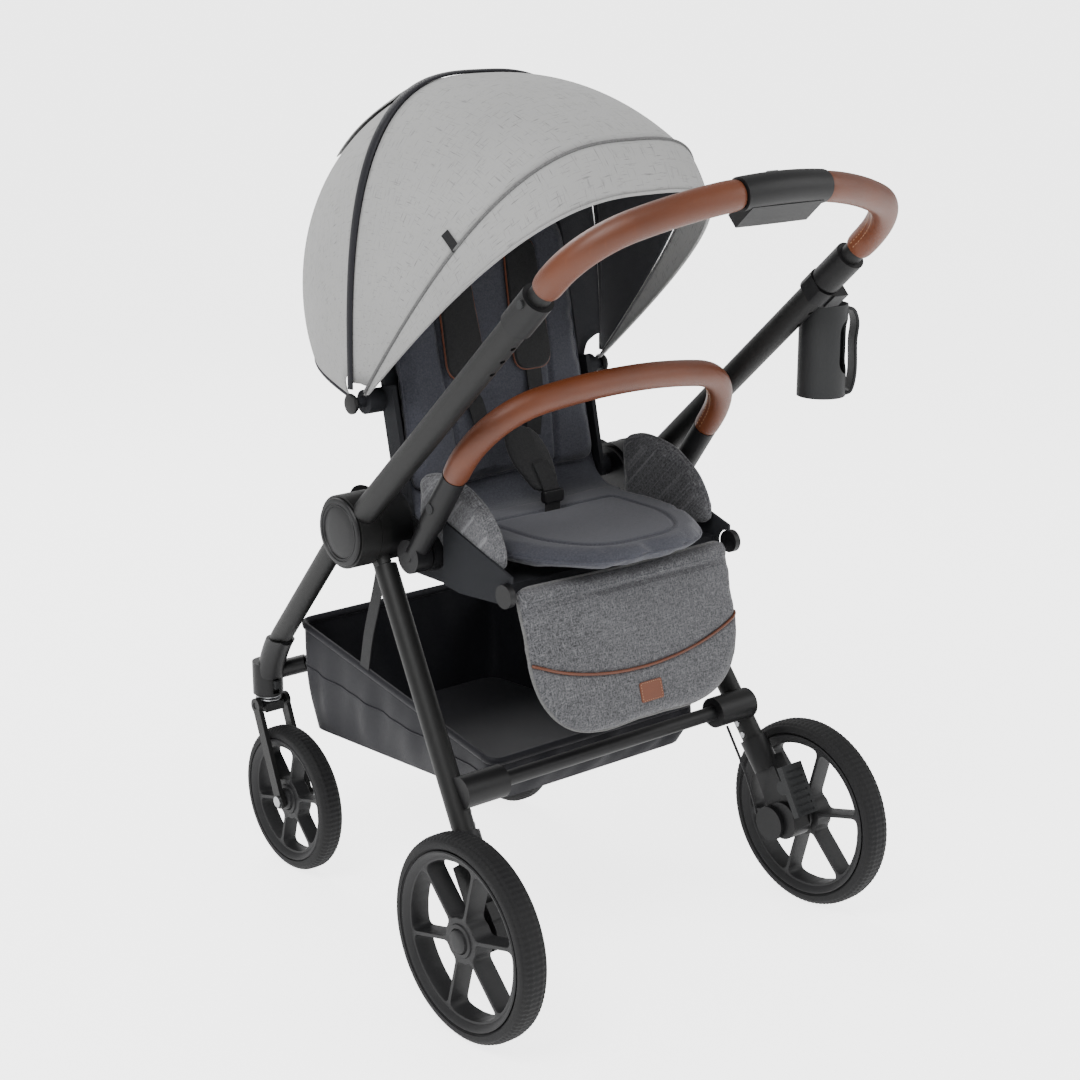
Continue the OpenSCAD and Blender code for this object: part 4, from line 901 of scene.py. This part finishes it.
patch = rectangle(0.019, 0.013, 0.003, 0.001)
patch_rings = pad_rings(patch, 0.0, 0.0016, 0.0006)
on_face = laid_on(legrest, leg_face(patch_rings[..., 0].ravel() + LABEL[0],
                                    patch_rings[..., 1].ravel() + LABEL[1]), into)
lifted = on_face - into * patch_rings[..., 2].reshape(-1, 1)
hide_patch = piece("hide_patch", grid(lifted.reshape(patch_rings.shape)), "legrest", "tan_leather")
sewn = patch * 0.87
row = laid_on(hide_patch, leg_face(sewn[:, 0] + LABEL[0], sewn[:, 1] + LABEL[1]), into)
piece("hide_patch_stitching", stitches(row, -into, 0.0022, 0.0014, 0.0003), "legrest",
      "tan_leather", material=stitch_thread)

# %% [markdown]
# ## Seat fold and harness
# Where the seat turns up into the backrest a soft roll of the same cloth closes the gap. The shoulder
# pads are broad black pads piped in brown hide, on flat webbing; the crotch pad lies back over the
# cushion, with its strap and adjuster in front.

# %% seat fold
fold_line = smooth_path([(0, 0.026, 0.572), (0, 0.052, 0.574), (0, 0.072, 0.586), (0, 0.084, 0.606),
                         (0, 0.092, 0.634)], 26)
x_line = np.linspace(-0.160, 0.160, 41)
swing = unit(np.gradient(fold_line, axis=0))
out_way = np.stack([0 * swing[:, 0], -swing[:, 2], swing[:, 1]], -1)
hump = 0.004 * (1 - (x_line / 0.160) ** 8)
face = fold_line[:, None] + out_way[:, None] * hump[None, :, None] + x_line[None, :, None] * [1, 0, 0]
behind = fold_line[:, None] - out_way[:, None] * 0.006 + x_line[None, :, None] * [1, 0, 0]
roll = np.concatenate([face, behind[::-1], face[:1]])
seat_fold = piece("seat_fold_cloth", [grid(roll), grid(np.stack([face[:, 0], behind[:, 0]])),
                                      grid(np.stack([face[:, -1], behind[:, -1]]))],
                  "seat", "seat_cloth")
seat_fold.parent = None
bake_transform(seat_fold)

# %% shoulder harness
SHOULDER = loop_of([(0.024, 0.150), (0.088, 0.150), (0.084, 0.325), (0.034, 0.325)],
                   (0.024, 0.024, 0.020, 0.020))
pad_shape = pad_rings(SHOULDER, 0.0235, 0.0325, 0.004, 0.0015)
toward_seat = (0, -0.976, 0.218)
for side, word in SIDES:
    shoulder = piece(f"shoulder_pad_{word}", grid(on_back(pad_shape * [side, 1, 1])),
                     "backrest", "webbing")
    trim = at_height(SHOULDER, 0.028) * [side, 1, 1]
    piece(f"shoulder_piping_{word}", ring_cord(on_back(trim), 0.0016, toward_seat),
          "backrest", "tan_leather")
    strap_path = on_back(smooth_path([(side * 0.058, 0.372, 0.021), (side * 0.058, 0.345, 0.031),
                                      (side * 0.058, 0.325, 0.030), (side * 0.056, 0.150, 0.028),
                                      (side * 0.050, 0.110, 0.031), (side * 0.040, 0.062, 0.027)], 60))
    flat = np.array([(-0.0125, -0.0008), (0.0125, -0.0008), (0.0125, 0.0008), (-0.0125, 0.0008),
                     (-0.0125, -0.0008)])
    piece(f"shoulder_strap_{word}", grid(carry(strap_path, flat, toward_seat)), "backrest", "webbing")
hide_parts("shoulder_harness")

# %% crotch harness
def on_crotch(p):
    """The pad's own frame: X across, Z up the pad, leaning back by 38 degrees and turned by 8."""
    leaned = tip(p, -38, 0, 0)
    c, s = cos(radians(8)), sin(radians(8))
    x, y, z = np.moveaxis(leaned, -1, 0)
    return np.stack([x * c - y * s - 0.034, x * s + y * c - 0.023, z + 0.6056], -1)


crotch_loop = loop_of([(0.010, 0.002), (0.054, 0.002), (0.070, 0.050), (0.060, 0.098), (0.004, 0.098),
                       (-0.006, 0.050)], (0.012, 0.012, 0.02, 0.024, 0.024, 0.02))
shape = pad_rings(crotch_loop, 0.0, 0.009, 0.004, 0.001)[..., [0, 2, 1]]
crotch, _ = pad("crotch_pad", shape, on_crotch, "seat", "webbing", 0.004, (),
                (0, -1, 0), voxel=0.004)
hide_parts("crotch_harness")
strap_path = smooth_path([(0, -0.019, 0.560), (0, -0.020, 0.585), (-0.001, -0.021, 0.600),
                          (-0.003, -0.014, 0.618), (-0.004, 0.002, 0.640)], 40)
piece("crotch_strap", grid(carry(strap_path, flat, (0, -1, 0))), "seat", "webbing")
buckle = pad_rings(rectangle(0.017, 0.009, 0.005, 0.002), -0.0245, -0.0145, 0.002)[..., [0, 2, 1]]
piece("crotch_adjuster", grid(buckle + [0, 0, 0.5972]), "seat", "black_plastic")

# %% [markdown]
# ## Hide grips
# The handle and the bumper are the same figure: two short legs, two corners and a gently bowed
# bar. The hide is a sleeve carried along that line, slightly tucked in at its ends, and sewn on
# the inner side with a row of stitches on each side of the seam.

# %% grips
def half_u(x, corner, s1, turned, bow, reach, start, stop):
    """Right half of the U: a straight up to s1, an arc of radius corner, then an arc of radius bow
    about (0, reach - bow), ending stop degrees before the middle."""
    a = np.radians(np.linspace(0, turned, 30))
    b = np.radians(np.linspace(turned, 90 - stop, 60))
    line = [np.stack([np.full(8, x), np.linspace(start, s1, 8)], -1),
            np.stack([x - corner + corner * np.cos(a), s1 + corner * np.sin(a)], -1)[1:],
            np.stack([bow * np.cos(b), reach - bow + bow * np.sin(b)], -1)[1:]]
    flat_line = np.concatenate(line)
    return evenly(np.concatenate([flat_line, np.zeros((len(flat_line), 1))], -1), 0.003)


def grip(name, path, radius, frame_of, body, nodes):
    """The sleeve: a tube with tucked ends, its seam and two rows of stitches on the inner side."""
    run = np.arange(len(path)) / 3.0
    tuck = 1 - 0.10 * np.exp(-run / 0.5) - 0.10 * np.exp(-run[::-1] / 0.5)
    around = circle(1.0, 40)
    angle = np.arctan2(around[:, 1], around[:, 0])
    seam_dip = 1 - 0.045 * np.exp(-((angle - pi / 2) / 0.07) ** 2)
    rings = carry(path, around * seam_dip[:, None] * radius, inward(path), tuck)
    made = piece(name, grid(frame_of(rings)), body, "tan_leather")
    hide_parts(*nodes)
    n = inward(path)
    rows = []
    for lean in (-0.17, 0.17):
        place = path + radius * (np.cos(lean) * n + np.sin(lean) * np.array([0, 0, 1.0]))
        rows.append(stitches(frame_of(place[3:-3]), frame_of(n[3:-3]) - frame_of(0 * n[3:-3])))
    piece(name + "_stitching", rows, body, "tan_leather", material=stitch_thread)
    return made


def inward(path):
    """The path's own left side in its plane, which is the inside of the U on the right half."""
    t = unit(np.gradient(path, axis=0))
    return np.cross([0, 0, 1.0], t)


def whole(half_path):
    return np.concatenate([half_path, (half_path * [-1, 1, 1])[::-1][1:]])


handle_half = half_u(0.253, 0.1, 0.54408, 65.0, 0.462, 0.678, 0.528, 8.29)
grip("handle_grip_right", handle_half, 0.018, on_handle, "handle_upper", ["handle_leather"])
grip("handle_grip_left", (handle_half * [-1, 1, 1])[::-1], 0.018, on_handle, "handle_upper",
     ["handle_leather"])
bumper_half = half_u(0.212, 0.1, 0.16445, 79.24, 0.7, 0.275, 0.146, 0.0)
grip("bumper_grip", whole(bumper_half), 0.017, on_bumper, "bumper", ["bumper_leather"])

# %% [markdown]
# ## Wheels
# A tyre is a rounded section turned about the axle, with a groove in its side and a fine diamond
# tread that really stands out of the rubber. The rim is a plate with six windows: each window's
# outline is joined to its own sixth of the wheel, and the leftovers are the thin deep spokes.

# %% tyres
def turned(rows, centre, count=96, lift=None):
    """rows of (x, radius) swept round the axle; lift(angle, x) adds to the radius."""
    x, r = np.array(rows, float).T
    a = np.linspace(0, 2 * pi, count + 1)
    r = r[:, None] + (0 if lift is None else lift(a[None], x[:, None], r[:, None]))
    return about_axle(centre[0] + x[:, None], r, a, centre[1], centre[2])


def tyre_rows(r, w, depth):
    """Half an ellipse from bead to bead, with a shallow groove on each side wall."""
    a = np.linspace(-pi / 2, pi / 2, 39)
    x = (w / 2) * np.sign(np.sin(a)) * np.abs(np.sin(a)) ** 0.72
    radius = r - 0.015 + 0.015 * np.cos(a) ** 0.62
    wall = np.exp(-((np.abs(x) - 0.43 * w) / 0.0014) ** 2)
    rows = np.stack([x, radius - 0.0010 * wall], -1)
    bead = [(-w / 2 + 0.001, r - depth + 0.004), (-w / 2 + 0.004, r - depth)]
    back = [(w / 2 - 0.004, r - depth), (w / 2 - 0.001, r - depth + 0.004)]
    return np.concatenate([bead[::-1], rows, back[::-1], bead[1:]])


def tread(count, w, high):
    """high * the positive part of sin(n a + k x) sin(n a - k x), only where the tyre meets the
    ground: a field of small diamonds."""
    def lift(a, x, r):
        k = pi / 0.0075
        wave = np.sin(count * a + k * x) * np.sin(count * a - k * x)
        band = np.clip((0.46 - np.abs(x) / w) / 0.06, 0, 1)
        ground = (r > r.max() - 0.012)
        return high * (np.clip(wave * 2.2, -1, 1) - 1) * 0.5 * band * ground
    return lift

# %% rims
def window(inner, outer, spoke):
    """One window's outline as (radius, angle): sides run parallel to the spokes, corners round."""
    def edge(r):
        return radians(30) - np.arcsin(spoke / r)
    a_in, a_out = edge(inner), edge(outer)
    arc = np.linspace(-a_out, a_out, 7)
    base = np.linspace(a_in, -a_in, 3)
    polar = np.array([(outer, t) for t in arc] + [(inner, t) for t in base])
    xy = polar[:, :1] * np.stack([np.cos(polar[:, 1]), np.sin(polar[:, 1])], -1)
    radii = [0.010] + [0.002] * 5 + [0.010, 0.007, 0.002, 0.007]
    ring = loop_of(xy, radii, 0.003)
    return np.stack([np.hypot(*ring.T), np.arctan2(ring[:, 1], ring[:, 0])], -1)


def spoke_plate(inner, outer, spoke, depth, centre, start):
    """Six sixths of a plate. The section goes over the front face, round the window's edge and
    back over the rear face; the outer loop is the window pushed out to the sixth's border."""
    w = window(inner + 0.004, outer - 0.003, spoke)
    low_r, high_r = inner - 0.006, outer + 0.003
    mid_r, span = (low_r + high_r) / 2, (high_r - low_r) / 2
    q = np.stack([(w[:, 0] - mid_r) / span, w[:, 1] / radians(30)], -1)
    q = q / np.abs(q).max(1, keepdims=True)
    border = np.stack([mid_r + span * q[:, 0], radians(30) * q[:, 1]], -1)
    b = 0.0012
    rows = []
    for mix, x in ((1, depth), (b / 0.006, depth), (0.06, depth - 0.3 * b), (0, depth - b),
                   (0, -depth + b), (0.06, -depth + 0.3 * b), (b / 0.006, -depth), (1, -depth)):
        p = w * (1 - mix) + border * mix
        rows.append(np.stack([np.full(len(p), x), p[:, 0], p[:, 1]], -1))
    section = np.array(rows)
    parts = []
    for k in range(6):
        a = section[..., 2] + radians(60 * k) + start
        parts.append(grid(about_axle(centre[0] + section[..., 0], section[..., 1], a, centre[1],
                                     centre[2])))
    return parts


def wheel(word, ends, centre, r, w, depth, body, side):
    """Tyre and rim of one wheel, with the hub's dome on the outer side."""
    tyre = piece(f"{ends}_tyre_{word}_tread", grid(turned(tyre_rows(r, w, depth), centre, 720,
                                                          tread(round(r * 410), w, 0.0011))),
                 body, "tyre_black")
    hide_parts(f"{ends}_tyre_{word}")
    bead = r - depth
    lip = [(0.003, -0.0002), (0.001, 0.0006), (0, -0.001), (0.001, -0.004), (0.006, -0.009)]
    band = [(-w / 2 + x, bead + y) for x, y in lip] + [(w / 2 - x, bead + y) for x, y in lip[::-1]]
    band.append(band[0])
    hub_w = w / 2 - 0.002
    hub = np.array([(-hub_w, 0.0065), (-hub_w, 0.017), (-hub_w + 0.002, 0.020), (hub_w - 0.004, 0.022),
                    (hub_w - 0.002, 0.021), (hub_w - 0.0015, 0.0165), (hub_w - 0.003, 0.0155),
                    (hub_w + 0.001, 0.0145), (hub_w + 0.0025, 0.012), (hub_w + 0.003, 0.006),
                    (hub_w + 0.003, 0.0)])
    parts = [grid(turned(band, centre, 120)), grid(turned(hub * [side, 1], centre, 60))]
    parts += spoke_plate(0.026, bead - 0.009, 0.0026, w / 2 - 0.006, centre, radians(15))
    rim = piece(f"{ends}_rim_{word}_spokes", parts, body, "rim_charcoal", 32)
    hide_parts(f"{ends}_rim_{word}")


# Each end's wheels: distance from the middle plane, place along Y, radius, width, tyre depth.
WHEELS = {"rear": (0.300, -0.221, 0.132, 0.040, 0.019), "front": (0.195, 0.330, 0.1066, 0.034, 0.017)}
for side, word in SIDES:
    for ends, (out_x, y, r, w, depth) in WHEELS.items():
        wheel(word, ends, (side * out_x, y, r), r, w, depth, f"{ends}_wheel_{word}", side)

# %% [markdown]
# ## Basket
# The basket is a bag of satin nylon: a rim loop and a floor loop joined by walls that belly out,
# with soft upright ripples where the cloth hangs between its fixings, a floor that sags, a hem
# and a lower seam.

# %% basket
MIDDLE = [0, 0.106]
rim_loop = rectangle(0.177, 0.219, 0.018, 0.006) + MIDDLE
floor_loop = rectangle(0.166, 0.215, 0.030, 0.006) + [0, 0.107]
count = 241
share = np.linspace(0, 1, count)


def spread(ring):
    """The loop at equal shares of its own length."""
    run = run_of(ring)
    return np.stack([np.interp(share * run[-1], run, ring[:, k]) for k in range(2)], -1)


rim_plan, floor_plan = spread(rim_loop), spread(floor_loop)
rim_z = np.interp(rim_plan[:, 1], [-0.113, 0.325], [0.293, 0.371])
floor_z = np.interp(floor_plan[:, 1], [-0.108, 0.322], [0.238, 0.212])
down = np.linspace(0, 1, 22)[:, None]
belly = 0.005 * np.sin(down * pi) + 0.0022 * np.sin(down * pi) * np.sin(share * 2 * pi * 17 + 0.7)
belly = belly + 0.0014 * np.sin(down * pi) * np.sin(share * 2 * pi * 31 + down * 4)
outwards = unit(rim_plan - MIDDLE)
plan = (rim_plan * (1 - down[..., None] ** 1.5) + floor_plan * down[..., None] ** 1.5
        + outwards * belly[..., None])
wall = np.concatenate([plan, (rim_z * (1 - down) + floor_z * down)[..., None]], -1)
inside = np.linspace(0, 1, 14)[1:, None]
sag = 0.006 * (1 - (1 - inside) ** 2)
part = inside[..., None]
ground = np.concatenate([floor_plan * (1 - part) + np.array(MIDDLE) * part,
                         (floor_z * (1 - inside) + 0.225 * inside - sag)[..., None]], -1)
basket = cloth_sheet("basket_cloth", np.concatenate([wall, ground]), "chassis", "black_cloth",
                     0.0018)
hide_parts("basket")
hem = np.concatenate([rim_plan, rim_z[:, None]], -1)
piece("basket_hem", grid(carry(hem, circle(0.0045, 10) * [1, 1.3], (0, 0, 1), closed=False)),
      "chassis", "black_cloth")
piece("basket_seam", grid(carry(wall[8], circle(0.0013, 6), (0, 0, 1), closed=False)),
      "chassis", "black_cloth")
for side, word in SIDES:
    sling = smooth_path([(side * 0.190, 0.098, 0.530), (side * 0.186, 0.120, 0.470),
                         (side * 0.181, 0.150, 0.400), (side * 0.179, 0.165, 0.346)], 30)
    piece(f"basket_sling_{word}", grid(carry(sling, flat[:, ::-1] * [1, 0.8], (0, 1, 0.3))),
          "chassis", "webbing")

# %% [markdown]
# ## Small hard parts
# Caps on the fold hubs with a raised rim, a groove and a plain domed face, and the open loop on
# the outer side of the cup holder.

# %% hub caps
low, high = box_of("hub_caps")
x0 = high[0] - 0.004
cap_rows = [(0, 0), (0, 0.0440), (0.002, 0.0448), (0.004, 0.0435), (0.0046, 0.0415), (0.0046, 0.0385),
            (0.0036, 0.0378), (0.0036, 0.0362), (0.0044, 0.0355), (0.0044, 0.0345), (0.0030, 0.0335),
            (0.0034, 0.0320), (0.0044, 0.020), (0.0047, 0)]
caps = disc_profile("hub_cap_discs", [(x0 + x, r) for x, r in cap_rows], *HUB, "handle_lower",
                    "black_plastic")
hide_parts("hub_caps")

# %% cup loop
low, high = box_of("cup_holder")
cx, cy = high[0] - 0.032, (low[1] + high[1]) / 2
loop_points = [(0.029, 0.116), (0.040, 0.112), (0.046, 0.095), (0.044, 0.070), (0.045, 0.030),
               (0.040, 0.006), (0.030, 0.001)]
way = np.array([cos(radians(-20)), sin(radians(-20))])
loop_path = smooth_path([(cx + d * way[0], cy + d * way[1], low[2] + z) for d, z in loop_points], 70)
bar = rectangle(0.011, 0.0022, 0.0018, 0.001)
piece("cup_holder_loop", grid(carry(loop_path, bar[:, ::-1] * [1, 1], (-way[1], way[0], 0))),
      "handle_lower", "charcoal_plastic")

# %% [markdown]
# ## Stage and light
# A pale floor, a bright even surround and large soft lights give the gentle contact shadows of a
# studio. The camera sees the floor and the surround brighter than the light they give, so the
# ground stays near white while the undersides stay dark. The floor isn't part of the stroller.

# %% stage
stage_finish, tree, shader = finish_of("pale floor")
patches = node(tree, "Group", {"Vector": coordinates(tree, False), "Scale": 1.5}, node_tree=mottle)
tree.links.new(blend_colours(tree, patches.outputs[0], (0.93, 0.93, 0.93), (0.95, 0.95, 0.95)),
               shader.inputs["Base Color"])
shader.inputs["Roughness"].default_value = 0.75
shader.inputs["Emission Color"].default_value = (1, 1, 1, 1)
seen = node(tree, "LightPath").outputs["Is Camera Ray"]
tree.links.new(node(tree, "MapRange", {0: seen, 3: 0.9, 4: 3.2}).outputs[0],
               shader.inputs["Emission Strength"])
span = np.linspace(-60, 60, 7)
flat_x, flat_y = np.meshgrid(span, span)
points, faces, uv = grid(np.stack([flat_x, flat_y, 0 * flat_x], -1))
mesh = bpy.data.meshes.new("floor")
mesh.from_pydata(points.tolist(), [], faces[:, ::-1].tolist())
mesh.materials.append(stage_finish)
floor = shown("floor", mesh)

# %% lights
world = bpy.data.worlds.new("surround")
bpy.context.scene.world = world
world.use_nodes = True
world.node_tree.nodes["Background"].inputs[0].default_value = (1.0, 1.0, 1.0, 1)
backdrop = world.node_tree
seen = node(backdrop, "LightPath").outputs["Is Camera Ray"]
backdrop.links.new(node(backdrop, "MapRange", {0: seen, 3: 0.5, 4: 4.0}).outputs[0],
                   backdrop.nodes["Background"].inputs[1])


def soft_light(name, place, aim, size, power):
    """A square area light at place, turned to face aim."""
    lamp = bpy.data.lights.new(name, "AREA")
    lamp.size, lamp.energy = size, power
    made = shown(name, lamp)
    made.location = place
    made.rotation_euler = (Vector(aim) - Vector(place)).to_track_quat("-Z", "Y").to_euler()


soft_light("key", (-2.2, -0.9, 3.4), (0, 0, 0.5), 1.8, 95)
soft_light("fill", (2.4, -2.4, 2.2), (0, 0, 0.5), 2.2, 40)
soft_light("rim", (0.6, 2.8, 2.6), (0, 0, 0.7), 1.6, 45)
